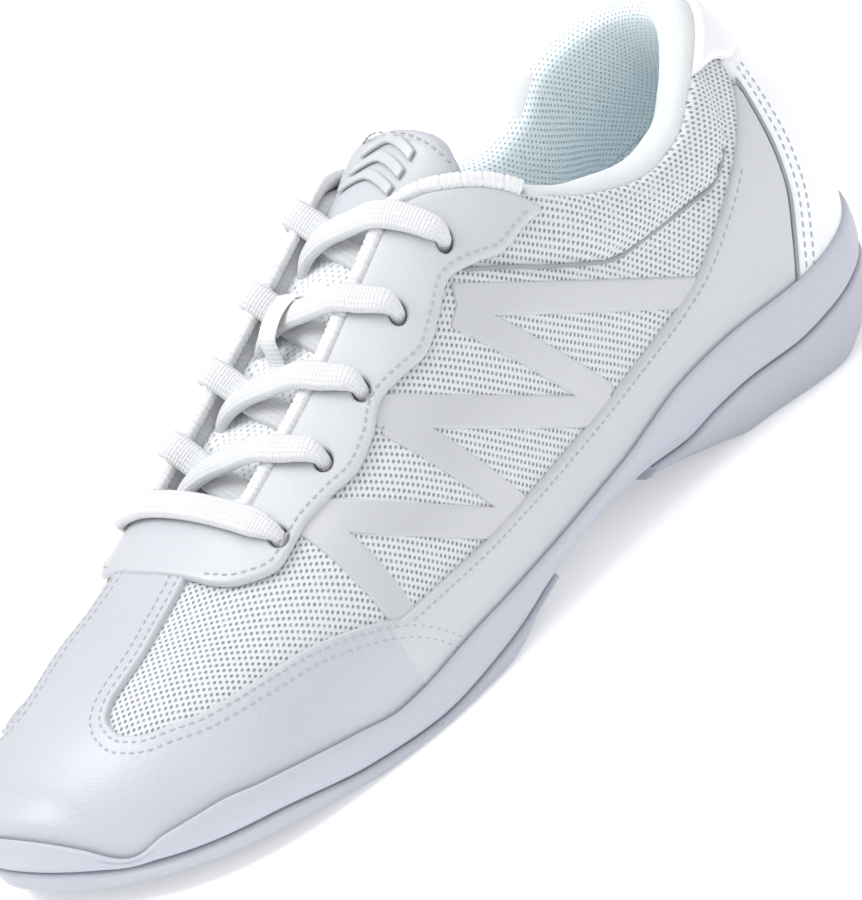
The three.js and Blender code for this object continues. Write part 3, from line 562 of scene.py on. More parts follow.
# ---- node materials
class Paint:
    """Builds one node material; the maths helpers return sockets."""

    def __init__(self, name, color, roughness, sheen=0.0, coat=0.0, specular=0.5):
        self.mat = bpy.data.materials.new(name)
        self.mat.use_nodes = True
        self.tree = self.mat.node_tree
        self.shader = self.tree.nodes["Principled BSDF"]
        self.color = color
        self.put("Base Color", (*color, 1))
        self.put("Roughness", roughness)
        self.put("Sheen Weight", sheen)
        self.put("Sheen Roughness", 0.5)
        self.put("Coat Weight", coat)
        self.put("Coat Roughness", 0.3)
        self.put("Specular IOR Level", specular)

    def put(self, socket, value):
        """Set a plain value on the shader."""
        self.shader.inputs[socket].default_value = value

    def node(self, kind, **settings):
        made = self.tree.nodes.new(kind)
        for key, value in settings.items():
            setattr(made, key, value)
        return made

    def feed(self, socket, value):
        """Link a socket, or set a plain value."""
        if isinstance(value, bpy.types.NodeSocket):
            self.tree.links.new(value, socket)
        else:
            socket.default_value = value

    def math(self, operation, a, b=0.0, c=0.0):
        made = self.node("ShaderNodeMath", operation=operation)
        for socket, value in zip(made.inputs, (a, b, c)):
            self.feed(socket, value)
        return made.outputs[0]

    def times(self, a, b):
        return self.math("MULTIPLY", a, b)

    def lay(self):
        """The piece's own flat coordinates in millimetres."""
        split = self.node("ShaderNodeSeparateXYZ")
        self.feed(split.inputs[0], self.node("ShaderNodeTexCoord").outputs["UV"])
        return split.outputs[0], split.outputs[1]

    def noise(self, size, detail=3.0, rough=0.55):
        """Cloudy noise with features of about size millimetres, from 0 to 1."""
        made = self.node("ShaderNodeTexNoise")
        self.feed(made.inputs["Vector"], self.node("ShaderNodeTexCoord").outputs["Object"])
        self.feed(made.inputs["Scale"], 1000 / size)
        self.feed(made.inputs["Detail"], detail)
        self.feed(made.inputs["Roughness"], rough)
        return made.outputs["Fac"]

    def cells(self, size):
        """Distance to the nearest point of a scatter about size millimetres apart."""
        made = self.node("ShaderNodeTexVoronoi")
        self.feed(made.inputs["Vector"], self.node("ShaderNodeTexCoord").outputs["Object"])
        self.feed(made.inputs["Scale"], 1000 / size)
        return made.outputs["Distance"]

    def tint(self, share, other):
        """Mix another colour into the base colour."""
        made = self.node("ShaderNodeMix", data_type="RGBA")
        for socket, value in ((0, share), (6, (*self.color, 1)), (7, (*other, 1))):
            self.feed(made.inputs[socket], value)
        self.feed(self.shader.inputs["Base Color"], made.outputs[2])

    def clouds(self, size, amount, dimmed):
        """Soft patches about size millimetres wide, in the base colour dimmed a little."""
        self.tint(self.times(self.noise(size), amount), tuple(dimmed * c for c in self.color))

    def bumps(self, *layers):
        """Layers of (height socket, depth in millimetres)."""
        before = None
        for height, depth in layers:
            made = self.node("ShaderNodeBump")
            made.inputs["Strength"].default_value = 1.0
            made.inputs["Distance"].default_value = depth * 0.001
            self.feed(made.inputs["Height"], height)
            if before is not None:
                self.feed(made.inputs["Normal"], before)
            before = made.outputs[0]
        self.feed(self.shader.inputs["Normal"], before)
        return self.mat


def leather(name, color, roughness=0.42, grain=0.05, coat=0.12):
    paint = Paint(name, color, roughness, coat=coat)
    paint.clouds(22, 0.28, 0.93)
    return paint.bumps((paint.cells(0.9), grain), (paint.noise(0.35), grain * 0.5), (paint.noise(14), 0.25))


def holed_mesh(name, color, hole_shade, across=1.75, along=1.1, size=0.34):
    """Knitted mesh with a staggered grid of small oval holes."""
    paint = Paint(name, color, 0.85, sheen=0.25, specular=0.3)
    u, v = paint.lay()
    row = paint.math("DIVIDE", v, along)
    odd = paint.math("FLOORED_MODULO", paint.math("FLOOR", row), 2.0)
    column = paint.math("ADD", paint.math("DIVIDE", u, across), paint.times(odd, 0.5))
    a = paint.times(paint.math("SUBTRACT", paint.math("FRACT", column), 0.5), across)
    b = paint.times(paint.math("SUBTRACT", paint.math("FRACT", row), 0.5), along * 1.25)
    far = paint.math("SQRT", paint.math("ADD", paint.times(a, a), paint.times(b, b)))
    hole = paint.node("ShaderNodeMapRange", interpolation_type="SMOOTHSTEP")
    for socket, value in zip(hole.inputs, (far, size * 0.55, size * 1.5, 1.0, 0.0)):
        paint.feed(socket, value)
    uneven = paint.math("MULTIPLY_ADD", paint.noise(2.6, 2.0), 1.3, 0.3)
    hole = paint.math("MINIMUM", paint.times(hole.outputs[0], uneven), 1.0)
    # the holes are tinted dark: painted shade seen down the holes
    paint.tint(hole, hole_shade)
    return paint.bumps((paint.math("SUBTRACT", 1.0, hole), 0.38), (paint.noise(0.4), 0.08))


def woven(name, color, pitch, depth, slant=0.5):
    """Plain cloth or webbing: two slanted sets of threads."""
    paint = Paint(name, color, 0.88, sheen=0.3, specular=0.25)
    u, v = paint.lay()
    scale = 2 * math.pi / pitch
    along, aside = paint.times(u, scale), paint.times(v, scale * slant)
    waves = [paint.math("SINE", paint.math(way, along, aside)) for way in ("ADD", "SUBTRACT")]
    height = paint.math("MULTIPLY_ADD", paint.times(*waves), 0.5, 0.5)
    # the low parts of the weave are tinted darker: painted shade between the threads
    paint.tint(paint.times(paint.math("SUBTRACT", 1.0, height), 0.6), tuple(0.86 * c for c in color))
    return paint.bumps((height, depth), (paint.noise(0.5), 0.05))


def rubber(name, color):
    paint = Paint(name, color, 0.55, specular=0.4)
    paint.clouds(30, 0.3, 0.93)
    return paint.bumps((paint.noise(0.5), 0.03), (paint.noise(9), 0.15))


def plain(name, color, roughness, size=1.0, depth=0.05):
    paint = Paint(name, color, roughness)
    paint.clouds(8, 0.3, 0.88)
    return paint.bumps((paint.noise(size), depth))


# the toe cap's white is painted a little darker than the band's: painted shade on the cap's side
CAP_WHITE = (0.47, 0.48, 0.52)
BAND_WHITE = (0.505, 0.515, 0.55)
TEXTILE_WHITE = (0.74, 0.755, 0.775)
MESH_WHITE = (0.61, 0.623, 0.645)
MESH_SHADE = (0.24, 0.25, 0.27)
FILM_GREY = (0.485, 0.495, 0.52)
SOLE_GREY = (0.455, 0.475, 0.535)
# the lining's blue tint is its own, but it is painted lighter than the white leathers: painted light for the
# shade inside the shoe
LINING_BLUE = (0.85, 0.94, 0.975)

cap_leather = leather("white toe cap leather, painted darker", CAP_WHITE)
band_leather = leather("white smooth leather", BAND_WHITE)
# the heel's leather is painted much lighter than the band's: painted highlight for the light on the heel's
# top
highlit_heel_leather = leather("heel leather, painted lighter", (0.76, 0.77, 0.79))
film_paint = leather("pearl grey film", FILM_GREY, roughness=0.3, grain=0.015, coat=0.3)
mesh_paint = holed_mesh("spacer mesh", MESH_WHITE, MESH_SHADE)
lining_mesh = holed_mesh("blue white lining mesh", LINING_BLUE, (0.52, 0.62, 0.68), 1.5, 1.0, 0.24)
tongue_cloth = holed_mesh("tongue mesh", TEXTILE_WHITE, (0.5, 0.53, 0.56), 2.2, 1.3, 0.3)
collar_cloth = woven("collar cloth", (0.70, 0.725, 0.745), pitch=0.7, depth=0.1)
lace_cloth = woven("lace weave", (0.68, 0.69, 0.705), pitch=1.6, depth=0.25, slant=0.7)
webbing = woven("webbing", (0.74, 0.75, 0.765), pitch=1.1, depth=0.15)
thread = plain("sewing thread", (0.40, 0.41, 0.44), 0.7, 0.4, 0.05)
seam_shadow_cord = plain("dark seam shadow cord", (0.30, 0.31, 0.33), 0.8, 0.4, 0.05)
sole_rubber = rubber("moulded sole", SOLE_GREY)
tread_rubber = rubber("tread rubber", tuple(0.95 * c for c in SOLE_GREY))
board_fibre = plain("fibre board", (0.50, 0.41, 0.29), 0.9, 0.8, 0.1)
badge_film = leather("raised grey mark", (0.53, 0.54, 0.57), roughness=0.35, grain=0.01, coat=0.2)
clear_plastic = plain("milky plastic tip", (0.72, 0.82, 0.86), 0.2, 2.0, 0.01)


def place(obj, paint, slot, *nodes, body="root"):
    """Paint a piece, fix it to its body, and hide the CAD nodes that it stands for."""
    obj.data.materials.clear()
    obj.data.materials.append(paint)
    if body:
        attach(obj, body)
    if nodes:
        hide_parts(*nodes)


# ---- leather overlays
WINDOW_FRONT, WING_END, CAP_BACK = -102, -27, -60


def window_edge(side):
    """Round the front of one mesh window, from its low rear end to its high rear end."""
    low = np.linspace(WING_END, WINDOW_FRONT, 60)
    high = np.linspace(WINDOW_FRONT, CAP_BACK, 40)
    return np.vstack([pair(low, side * window_low(low)), pair(high, side * window_top(high))])


def cap_outline():
    feather = station_at(np.linspace(0.0, angle_at(WING_END), 90))
    return np.vstack([pair(feather, -FEATHER_T), window_edge(-1), window_edge(1)[::-1],
                      pair(feather[::-1], FEATHER_T)])


def eyestay_outline(grow=0.0):
    xs = np.linspace(-65, 46.5, 90)
    outer = pair(xs, -(eyestay_wrap(xs) + grow))
    end = [(48.5, -0.635), (48.0, -0.605)]
    half = np.vstack([outer, end, throat_side(-1)[::-1]])
    return np.vstack([half, half[::-1] * (1, -1)])


def eyelet_loops(radius):
    """Circles of the skin round the lace holes, drawn in the chart."""
    loops = []
    turn = np.linspace(0, 2 * np.pi, 24, endpoint=False)
    for x, t in zip(EYELETS_X, EYELETS_T):
        for side in (-1, 1):
            per_u = np.sin(angle_at(x))
            per_v = np.linalg.norm(skin(x, side * t + 0.01) - skin(x, side * t - 0.01)) / 0.02 / WRAP_MM
            centre = to_chart([x, side * t])
            loops.append(centre + pair(np.cos(turn) * radius / per_u, np.sin(turn) * radius / per_v))
    return loops


def band_outline(side):
    top = on_line(np.linspace(-45, 96, 80), band_top, side)
    zs = np.linspace(74, 28, 30)
    seam = in_side_view(heel_seam(zs) - 0.75, zs, side)
    keep = top[:, 0] < seam[0, 0] - 0.5
    base = pair(np.linspace(seam[-1, 0], -36, 60), side * FEATHER_T)
    front = [(-44, side * FEATHER_T), (-45, side * 0.95), (-45, side * 0.86)]
    return np.vstack([top[keep], seam, base, front])


def heel_outline():
    zs = np.linspace(27, 79.5, 40)
    ups, bases = [], []
    for side in (-1, 1):
        seam = in_side_view(heel_seam(zs), zs, side)
        over = stations(seam[-1, 0], 20)
        up = np.vstack([seam, pair(over, wrap_at(over, 80.5, side))[1:]])
        low = station_at(np.linspace(np.pi, angle_at(seam[0, 0]), 30))[:-1]
        ups.append(to_heel_chart(up[:, 0], side * np.abs(up[:, 1])))
        bases.append(to_heel_chart(low, side * FEATHER_T))
    return np.vstack([ups[0], ups[1][::-1], bases[1][::-1], bases[0]])


TAB_CORNERS = np.array([(114.5, 78.5), (112.5, 80.4), (110, 81.6), (101, 82.6)])  # in side view


def tab_outline():
    halves = []
    for side in (-1, 1):
        low = in_side_view(TAB_CORNERS[:, 0], TAB_CORNERS[:, 1], side)
        top = on_line(stations(low[-1, 0], 30), collar_line(side), side, 1.2)
        under = station_at(np.linspace(np.pi, angle_at(low[0, 0]), 14))
        half = np.vstack([pair(under, wrap_at(under, 78.0, side))[:-1], low, top])
        halves.append(to_heel_chart(half[:, 0], half[:, 1]))
    return np.vstack([halves[0], halves[1][::-1]])


toe_cap = panel("toe_cap_panel", [to_chart(cap_outline())], *CAP_LAYER, edge=0.7)
place(toe_cap, cap_leather, "leather", "toe_cap")

eyestay = panel("eyestay_panel", [to_chart(eyestay_outline()), *eyelet_loops(2.3)], *EYESTAY_LAYER, step=1.3)
place(eyestay, band_leather, "leather", "eyestay")
facing_loops = [to_chart(eyestay_outline(-0.04)), *eyelet_loops(2.5)]
facing = panel("eyestay_facing_panel", facing_loops, *FACING_LAYER)
place(facing, webbing, "facing", "eyestay_facing")

for side, name in SIDES:
    band = panel(f"side_band_{name}_panel", [to_chart(band_outline(side))], *BAND_LAYER, edge=0.7)
    place(band, band_leather, "leather", f"side_band_{name}")

heel_cover = panel("heel_counter_panel", [heel_outline()], *HEEL_LAYER, heel=True)
place(heel_cover, highlit_heel_leather, "leather", "heel_counter_cover")
heel_tab = panel("heel_tab_panel", [tab_outline()], *TAB_LAYER, heel=True)
place(heel_tab, highlit_heel_leather, "leather", "heel_tab")


# ---- films and mesh panels
def stripe_loop(ends, side):
    """A straight stripe of film, drawn in side view between two points of its centre line."""
    start, stop = np.array(ends, float)
    along = stop - start
    across = np.array([-along[1], along[0]]) / np.hypot(*along) * FILM_WIDTH / 2
    shares = np.linspace(0, 1, 24)[:, None]
    corners = np.vstack([start + across + along * shares, stop - across - along * shares])
    return to_chart(in_side_view(corners[:, 0], corners[:, 1], side))


PAD_BULGE, PAD_GROOVE, GROOVE_WIDTH = 2.2, 0.6, 1.9


def collar_swell(x, t):
    """The padded zone bulges between its seam and the collar's top line."""
    side_x, _, z = np.moveaxis(skin(x, t), -1, 0)
    seam = pad_seam_z(side_x)
    groove = PAD_GROOVE * np.exp(-((z - seam) / GROOVE_WIDTH) ** 2) * smooth(x, 22, 34)
    out = np.zeros(len(z))
    for side in (-1, 1):
        high = height_on(collar_line(side), x)
        share = np.clip((z - seam) / np.maximum(high + 3 - seam, 1), 0, 1)
        bulge = PAD_BULGE * np.sin(np.pi * share) ** 0.6 * smooth(x, 44, 56)
        out = np.where(np.sign(t) == side, (bulge - groove) * (1 - smooth(side_x, 98, 107)), out)
    return out


QUARTER_FRONT, VAMP_BACK = -47.4, -46.6


def quarter_outline(side):
    low = pair(stations(QUARTER_FRONT, 110), side * FEATHER_T)
    under = np.linspace(QUARTER_FRONT, 36, 60)
    high = pair(under, side * (eyestay_wrap(under) - 0.06))
    rim = on_line(stations(COLLAR_START - 1, 80, 0.004), collar_line(side), side, 1.2)
    loop = np.vstack([low[:-1], rim[::-1], high[::-1]])
    return to_heel_chart(loop[:, 0], loop[:, 1])


for side, name in SIDES:
    quarter = panel(f"quarter_{name}_panel", [quarter_outline(side)], *QUARTER_LAYER, heel=True,
                    lift=collar_swell, edge=0.7)
    place(quarter, mesh_paint, "mesh", f"quarter_mesh_{name}")
    stripes = [stripe_loop(ends, side) for ends in FILM_STRIPES]
    film = panel(f"zigzag_{name}_panel", stripes, *FILM_LAYER, edge=0.35, union=True, step=1.2,
                 lift=collar_swell)
    place(film, film_paint, "film", f"film_zigzag_{name}")

vamp_x = np.linspace(-106, VAMP_BACK, 50)
vamp_notch = [(VAMP_BACK, -0.35), (-53, -0.2), (-53, 0.2), (VAMP_BACK, 0.35)]
vamp_loop = np.vstack([pair(vamp_x, -FEATHER_T), vamp_notch, pair(vamp_x[::-1], FEATHER_T)])
vamp = panel("vamp_mesh_panel", [to_chart(vamp_loop)], *VAMP_LAYER)
place(vamp, mesh_paint, "mesh", "vamp_mesh")


# ---- inside: linings and footbed
def lining_outline():
    lows, highs = [], []
    for side in (-1, 1):
        lows.append(to_heel_chart(stations(-60, 100), side * LINING_T))
        front = np.linspace(-60, 44, 60)
        high = pair(front, side * np.maximum(throat_wrap(front) + 0.04, 0.3))
        rim = on_line(stations(48, 70), collar_line(side), side, 18)
        highs.append(to_heel_chart(*np.vstack([high, rim]).T))
    return np.vstack([highs[0], highs[1][::-1][1:], lows[1], lows[0][::-1][1:]])


lining = panel("lining_panel", [lining_outline()], *LINING_LAYER, heel=True, step=2.4)
place(lining, lining_mesh, "lining", "vamp_and_quarter_lining")
toe_x = station_at(np.linspace(0.05, angle_at(-60.5), 40))
toe_loop = np.vstack([pair(toe_x, -LINING_T), pair(toe_x[::-1], LINING_T)])
toe_lining = panel("toe_lining_panel", [to_chart(toe_loop)], *LINING_LAYER, step=3)
place(toe_lining, lining_mesh, "lining")


# ---- sole
mold_side_z = through((-123, 15.5), (-108, 13.5), (-91, 12.7), (-66, 8.6), (-44, 7.2), (-17, 9.6),
                      (6, 12.5), (20, 15), (30, 16), (42, 15.2), (56, 14.8), (66, 17.2), (78, 18.4),
                      (92, 18), (104, 19.2), (118, 21), (132, 24))
mold_mid_z = through((-123, 11.5), (-100, 10.2), (-75, 8.2), (-55, 7), (-30, 7), (-5, 9), (14, 12.5),
                     (30, 13.8), (46, 13), (60, 12.5), (90, 12), (132, 14.5))
ground_z = through((-123, 12), (-115, 10), (-100, 8.8), (-88, 8.2), (-74, 6.4), (-60, 5), (-22, 5),
                   (-8, 6.8), (6, 9.8), (44, 12), (56, 10), (68, 7.2), (78, 5), (106, 5), (115, 7.5),
                   (132, 14))
flare = through((-123, 1), (-100, 2.2), (-60, 3.2), (-25, 2.4), (5, -4), (30, -8), (50, -6), (80, -5),
                (102, -2), (132, -0.4))
lip_rise = through((-123, 1.5), (-119, 2.2), (-114.5, 0), (-109, 2.8), (-92, 4.8), (-66, 2.4), (-52, 0.4),
                   (-30, 1), (10, 0.2), (32, 0.3), (62, 3), (76, 3.5), (100, 2.4), (132, 0.6))
BELLY = 3.2
ARCH_FRONT, ARCH_BACK = 6.0, 46.0


def wall(x, z):
    """How far the sole's side stands out from the feather edge at height z."""
    share = np.clip((z - ground_z(x)) / (feather_z(x) - ground_z(x)), 0, 1)
    return mixed(flare(x), BELLY, np.sin(share * np.pi / 2))


def level_out(x, t):
    """The level direction straight out of the skin."""
    out = outward(np.full(1, float(x)), np.full(1, float(t)))[0]
    out[2] = 0
    return unit(out)


def around(x, side, offset, z):
    """The point that stands offset outside the feather edge, at height z."""
    point = skin(x, side) + level_out(x, side) * offset
    point[2] = z
    return point


SOLE_SHARES = np.linspace(0, 1, 28)[1:-1]  # columns across the underside


def sole_ring(x, outer, inner, floor):
    """A ring through the sole at one station from (offset, z) pairs that run down the outside."""
    (out_a, in_a), (out_b, in_b) = [[[around(x, side, o, z) for o, z in rows] for rows in (outer, inner)]
                                    for side in (-1, 1)]
    bottom = [mixed(out_a[-1], out_b[-1], s) for s in SOLE_SHARES]
    if floor:
        bottom = [floor(p, s) for p, s in zip(bottom, SOLE_SHARES)]
    top = [mixed(in_b[-1], in_a[-1], s) for s in SOLE_SHARES]
    return [*out_a, *bottom, *out_b[::-1], *in_b, *top, *in_a[::-1]]


def sole_piece(name, start, stop, step, outer, inner, floor=None):
    """A piece of the sole swept from start to stop."""
    a, b = float(angle_at(start)), float(angle_at(stop))
    xs = station_at(np.linspace(a, b, int((b - a) * HALF_LENGTH / step)))
    obj = sweep(name, [sole_ring(x, outer(x), inner(x), floor) for x in xs])
    tidy_mesh(obj)
    return obj


def lip_top(x):
    return float(feather_z(x) + lip_rise(x))


LIP_OUT, LIP_IN = 3.45, 1.85


def midsole_outer(x):
    top, low = lip_top(x), float(mold_side_z(x))
    rows = [(LIP_IN + 0.1, top - 0.15), (LIP_IN + 0.45, top + 0.15), (LIP_OUT - 0.55, top + 0.12),
            (LIP_OUT - 0.12, top - 0.3), (LIP_OUT, top - 1.0)]
    edge = float(wall(x, low)) + 0.2
    for share in (0.25, 0.45, 0.65, 0.8):
        belly = 0.35 * math.sin(math.pi * share)
        rows.append((mixed(LIP_OUT, edge, share ** 1.4) + belly, mixed(top, low, share)))
    rows += [(edge + 0.05, low + 1.3), (edge - 0.1, low + 0.75), (edge - 0.55, low + 0.3),
             (edge - 1.4, low + 0.1)]
    rows.append((float(wall(x, mold_mid_z(x))) - 3, float(mold_mid_z(x))))
    return rows


def midsole_inner(x):
    feather, bed = float(feather_z(x)), float(bed_z(x))
    return [(LIP_IN, lip_top(x) - 0.4), (LIP_IN, feather - 0.4), (0.3, feather - 0.6), (0.2, bed),
            (-3, bed)]


def tread_outer(x):
    top = float(mold_side_z(x)) - 0.05
    low = float(min(ground_z(x), mold_mid_z(x) - 1.5))
    edge = float(wall(x, mold_side_z(x)))
    foot = float(flare(x))
    rows = [(edge - 1.2, top - 0.1), (edge - 0.3, top - 0.25), (edge + 0.15, top - 0.75),
            (edge + 0.25, top - 1.2)]
    for share in (0.4, 0.65, 0.85):
        belly = 0.3 * math.sin(math.pi * share)
        rows.append((mixed(edge, foot, share ** 1.3) + belly, mixed(top, low, share)))
    rows += [(foot, low + 0.7), (foot - 0.35, low + 0.2), (foot - 1.1, low)]
    return rows


def tread_inner(x):
    return [(float(wall(x, mold_side_z(x))) - 1.6, float(mold_side_z(x)) - 0.2),
            (float(wall(x, mold_mid_z(x))) - 3, float(mold_mid_z(x)) - 0.1)]


GROOVE_PITCH, GROOVE_DEPTH = 8.5, 1.25


def tread_floor(point, share):
    """Chevron grooves across the tread, shallow towards its edges."""
    phase = (point[0] + 0.55 * abs(point[1] - 2)) / GROOVE_PITCH * math.pi
    depth = GROOVE_DEPTH * smooth(math.sin(phase) ** 2, 0.72, 0.9)
    return point + np.array([0, 0, float(depth * smooth(min(share, 1 - share), 0.03, 0.09))])


midsole = sole_piece("midsole_body", TOE_X, HEEL_X, 1.6, midsole_outer, midsole_inner)
place(midsole, sole_rubber, "sole", "midsole")
for name, start, stop in (("forefoot", TOE_X, ARCH_FRONT), ("heel", ARCH_BACK, HEEL_X)):
    tread = sole_piece(f"tread_{name}_body", start, stop, 1.0, tread_outer, tread_inner, tread_floor)
    place(tread, tread_rubber, "tread", f"tread_{name}")

BOARD_THICK = 2.4                   # the footbed lies on the lasting board


def liner_outer(x):
    z = float(bed_z(x)) + BOARD_THICK
    return [(-6.6, z + 3.3), (-5.9, z + 2.8), (-5.8, z + 0.4), (-6.4, z)]


def liner_inner(x):
    z = float(bed_z(x)) + BOARD_THICK
    return [(-7.8, z + 3.45), (-14, z + 2.9)]


sock = sole_piece("sock_liner_body", TOE_X, HEEL_X, 3, liner_outer, liner_inner)
place(sock, lining_mesh, "lining", "sock_liner")


# ---- padded collar
COLLAR_PROFILE = (                  # depth from the skin and height from the collar's top line
    (0.2, -3.5), (0.9, -1.2), (0.7, 0.8), (-0.6, 2.2), (-2.6, 3.0), (-4.8, 2.8), (-6.8, 1.6),
    (-8.3, -0.6), (-9.2, -4), (-9.7, -9), (-9.5, -14), (-8.6, -19), (-7.0, -24), (-5.4, -28),
    (-4.4, -32), (-3.7, -32.5), (-2.9, -27), (-2.0, -16), (-1.2, -7))
COLLAR_RISE = 26.0                  # the pad grows to its full thickness over this length


def collar_ring(x, side):
    """The section of the padded collar at one station."""
    high = float(height_on(collar_line(side), x))
    full = float(mixed(0.45, 1.0, smooth(x, COLLAR_START, COLLAR_START + COLLAR_RISE)))
    ring = []
    for depth, dz in COLLAR_PROFILE:
        t = wrap_at(x, high + min(dz, 0.0) * mixed(0.75, 1.0, full), side)
        point = skin(x, t) + level_out(x, t) * (depth * full if depth < 0 else depth)
        point[2] += max(dz, 0.0) * full
        ring.append(point)
    return ring


collar_x = stations(COLLAR_START, 74)
rings = np.array([collar_ring(float(x), -1) for x in collar_x]
                 + [collar_ring(float(x), 1) for x in collar_x[::-1][1:]])
collar_uv = pair(run_along(rings[:, 4])[:, None], run_along(rings[60])).reshape(-1, 2)
collar = sweep("collar_pad", rings, collar_uv)
tidy_mesh(collar)
detail = collar.modifiers.new("round", "SUBSURF")
detail.levels = detail.render_levels = 2
place(collar, collar_cloth, "foam", "collar_foam", "collar_lining", "collar_roll")
collar.data.materials.append(lining_mesh)
SHAFT_BACK, SHAFT_Y = 0.085, 0.004  # the line that the inner faces look at, in metres
for face in collar.data.polygons:
    away = Vector((face.center.x - min(face.center.x, SHAFT_BACK), face.center.y - SHAFT_Y))
    if face.normal.xy.dot(away.normalized()) < -0.45:
        face.material_index = 1


# ---- tongue
TONGUE_T = 0.42                     # wrap of the tongue's edges
tongue_x = np.linspace(-56, 23.5, 60)
tongue_loop = np.vstack([pair(tongue_x, -TONGUE_T), pair(tongue_x[::-1], TONGUE_T)])


def tongue_waves(x, t):
    """The tongue is pressed by each crossing of the lace and swells between them."""
    swell = np.sin(np.pi * (x + 38.5) / 18.2) ** 2
    edge = smooth(np.abs(t), 0.1, 0.2) * (1 - smooth(np.abs(t), 0.33, 0.39))
    return 0.9 * swell * np.exp(-(t / 0.3) ** 2) + 2.3 * edge * smooth(x, -52, -46)


tongue = panel("tongue_body", [to_chart(tongue_loop)], *TONGUE_LAYER, edge=3.0, lift=tongue_waves)
place(tongue, tongue_cloth, "mesh", "tongue")

PAD_END = 42.6
pad_half = through((11, 15.5), (22, 17), (30, 18.5), (34, 22), (37.5, 25.5), (40, 25.8), (41.8, 23),
                   (PAD_END, 15))


def wrap_for_y(x, half, side):
    """Wrap whose skin point stands half millimetres to one side of the ridge."""
    width = (lateral_width(x) if side < 0 else medial_width(x)) * closing(x, True)
    phi = np.arccos(np.clip(half / width, 0, 1) ** (side_power(x) / 2))
    return side * (1 - phi / (np.pi / 2))


def pad_outline(inset=0.0):
    """Outline of the tongue's padded top, or a line inside it."""
    xs = np.concatenate([np.linspace(11 + inset, 38, 30), np.linspace(38.3, PAD_END - inset, 16)])
    one, two = [pair(xs, wrap_for_y(xs, np.maximum(pad_half(xs) - inset, 4), side)) for side in (-1, 1)]
    return np.vstack([one, two[::-1]])


def pad_swell(x, t):
    """The padded top is crowned, and leans up towards the medial side."""
    centre = np.exp(-((x - 33) / 12) ** 2) * np.exp(-(t / 0.3) ** 2)
    tilt = 5.5 * smooth(t, 0.02, 0.42) - 2.6
    return 0.8 * centre - 1.2 * smooth(-x, -17, -11) + tilt * smooth(x, 22, 38)


tongue_top = panel("tongue_top_pad", [to_chart(pad_outline())], *PAD_LAYER, edge=3.4, lift=pad_swell,
                   step=1.2)
place(tongue_top, band_leather, "leather", "tongue_top", body=None)

bend = lifted(np.array([18.0, 28.0]), 0.0, -7.0)  # two points 7 mm under the skin's ridge, at stations 18 and 28
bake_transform(tongue_top)

pad_border = pad_outline(3.0)
pad_border = pad_border[pad_border[:, 0] > 14]
pad_stitches = stitch_rows("tongue_top_stitches", [pad_border], PAD_LAYER[0] + 0.1)
place(pad_stitches, thread, "leather", body=None)
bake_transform(pad_stitches)

CHEVRON_WIDTH, CHEVRON_T, CHEVRON_ARM = 2.4, 0.125, 3.0


def chevron(x):
    """A V-shaped bar across the tongue, in the chart."""
    ts = np.linspace(-CHEVRON_T, CHEVRON_T, 17)
    bend = CHEVRON_ARM * np.abs(ts) / CHEVRON_T
    return to_chart(np.vstack([pair(x - bend, ts), pair(x + CHEVRON_WIDTH - bend, ts)[::-1]]))


badge = panel("tongue_chevrons", [chevron(x) for x in (29.5, 33.7, 37.9)], *BADGE_LAYER, step=0.8,
              edge=0.4, lift=lambda x, t: PAD_LAYER[0] + pad_swell(x, t), rim_step=0.5)
place(badge, badge_film, "badge", "tongue_badge", body="tongue_end")

strap_x = np.linspace(-15, 7, 60)
strap_depth = through((-15, -5.0), (-12, -4.2), (-8.5, 1.6), (-4, 2.6), (0.5, 1.6), (4, -4.2), (7, -5.0))
strap = bead("tongue_strap", pair(strap_x, 0.0), strap_depth(strap_x), 6.2, 1.1, step=0.5)
place(strap, webbing, "webbing", "tongue_loop")


# ---- lace
LACE_WIDTH, LACE_THICK, LACE_SIDES = 7.0, 3.4, 18
OVER_FLAP, UNDER_FLAP, IN_HOLE = 4.0, -5.1, 3.6


def lace_half(side):
    """One end of the lace, up through its eyelets: station, wrap, depth and width."""
    route = []
    for i, (x, wrap) in enumerate(zip(EYELETS_X, EYELETS_T)):
        here = side * (1 if i % 2 == 0 else -1)
        if i > 0:
            before = EYELETS_X[i - 1]
            early, middle, late = (-3.0, -0.7, 1.6) if here < 0 else (-4.9, -4.2, -1.9)
            steps = ((0.24, -0.25, UNDER_FLAP, 1), (0.36, -0.13, early, 1), (0.5, 0.0, middle, 1),
                     (0.62, 0.09, late, 1), (0.76, 0.185, OVER_FLAP, 1), (0.86, 0.26, OVER_FLAP, 1),
                     (0.98, wrap - 0.045, OVER_FLAP, 0.85))
            route += [(mixed(before, x, s), here * t, d, LACE_WIDTH * w) for s, t, d, w in steps]
        route += [(x, here * (wrap - 0.01), 2.4, IN_HOLE), (x, here * wrap, -3.9, IN_HOLE)]
        if i < len(EYELETS_X) - 1:
            route.append((x + 1.2, here * (wrap - 0.04), UNDER_FLAP, LACE_WIDTH * 0.7))
    return route


def lace_tail(side):
    """The end of the lace, tucked in behind the tongue."""
    tail = ((27.6, 0.42, -6.6), (28.2, 0.41, -10), (24, 0.39, -11.8), (10, 0.34, -12.2), (-8, 0.28, -12.2),
            (-34, 0.24, -12), (-58, 0.22, -11), (-72, 0.2, -10), (-84, 0.2, -9))
    return [(x, side * t, depth, LACE_WIDTH * 0.8) for x, t, depth in tail]


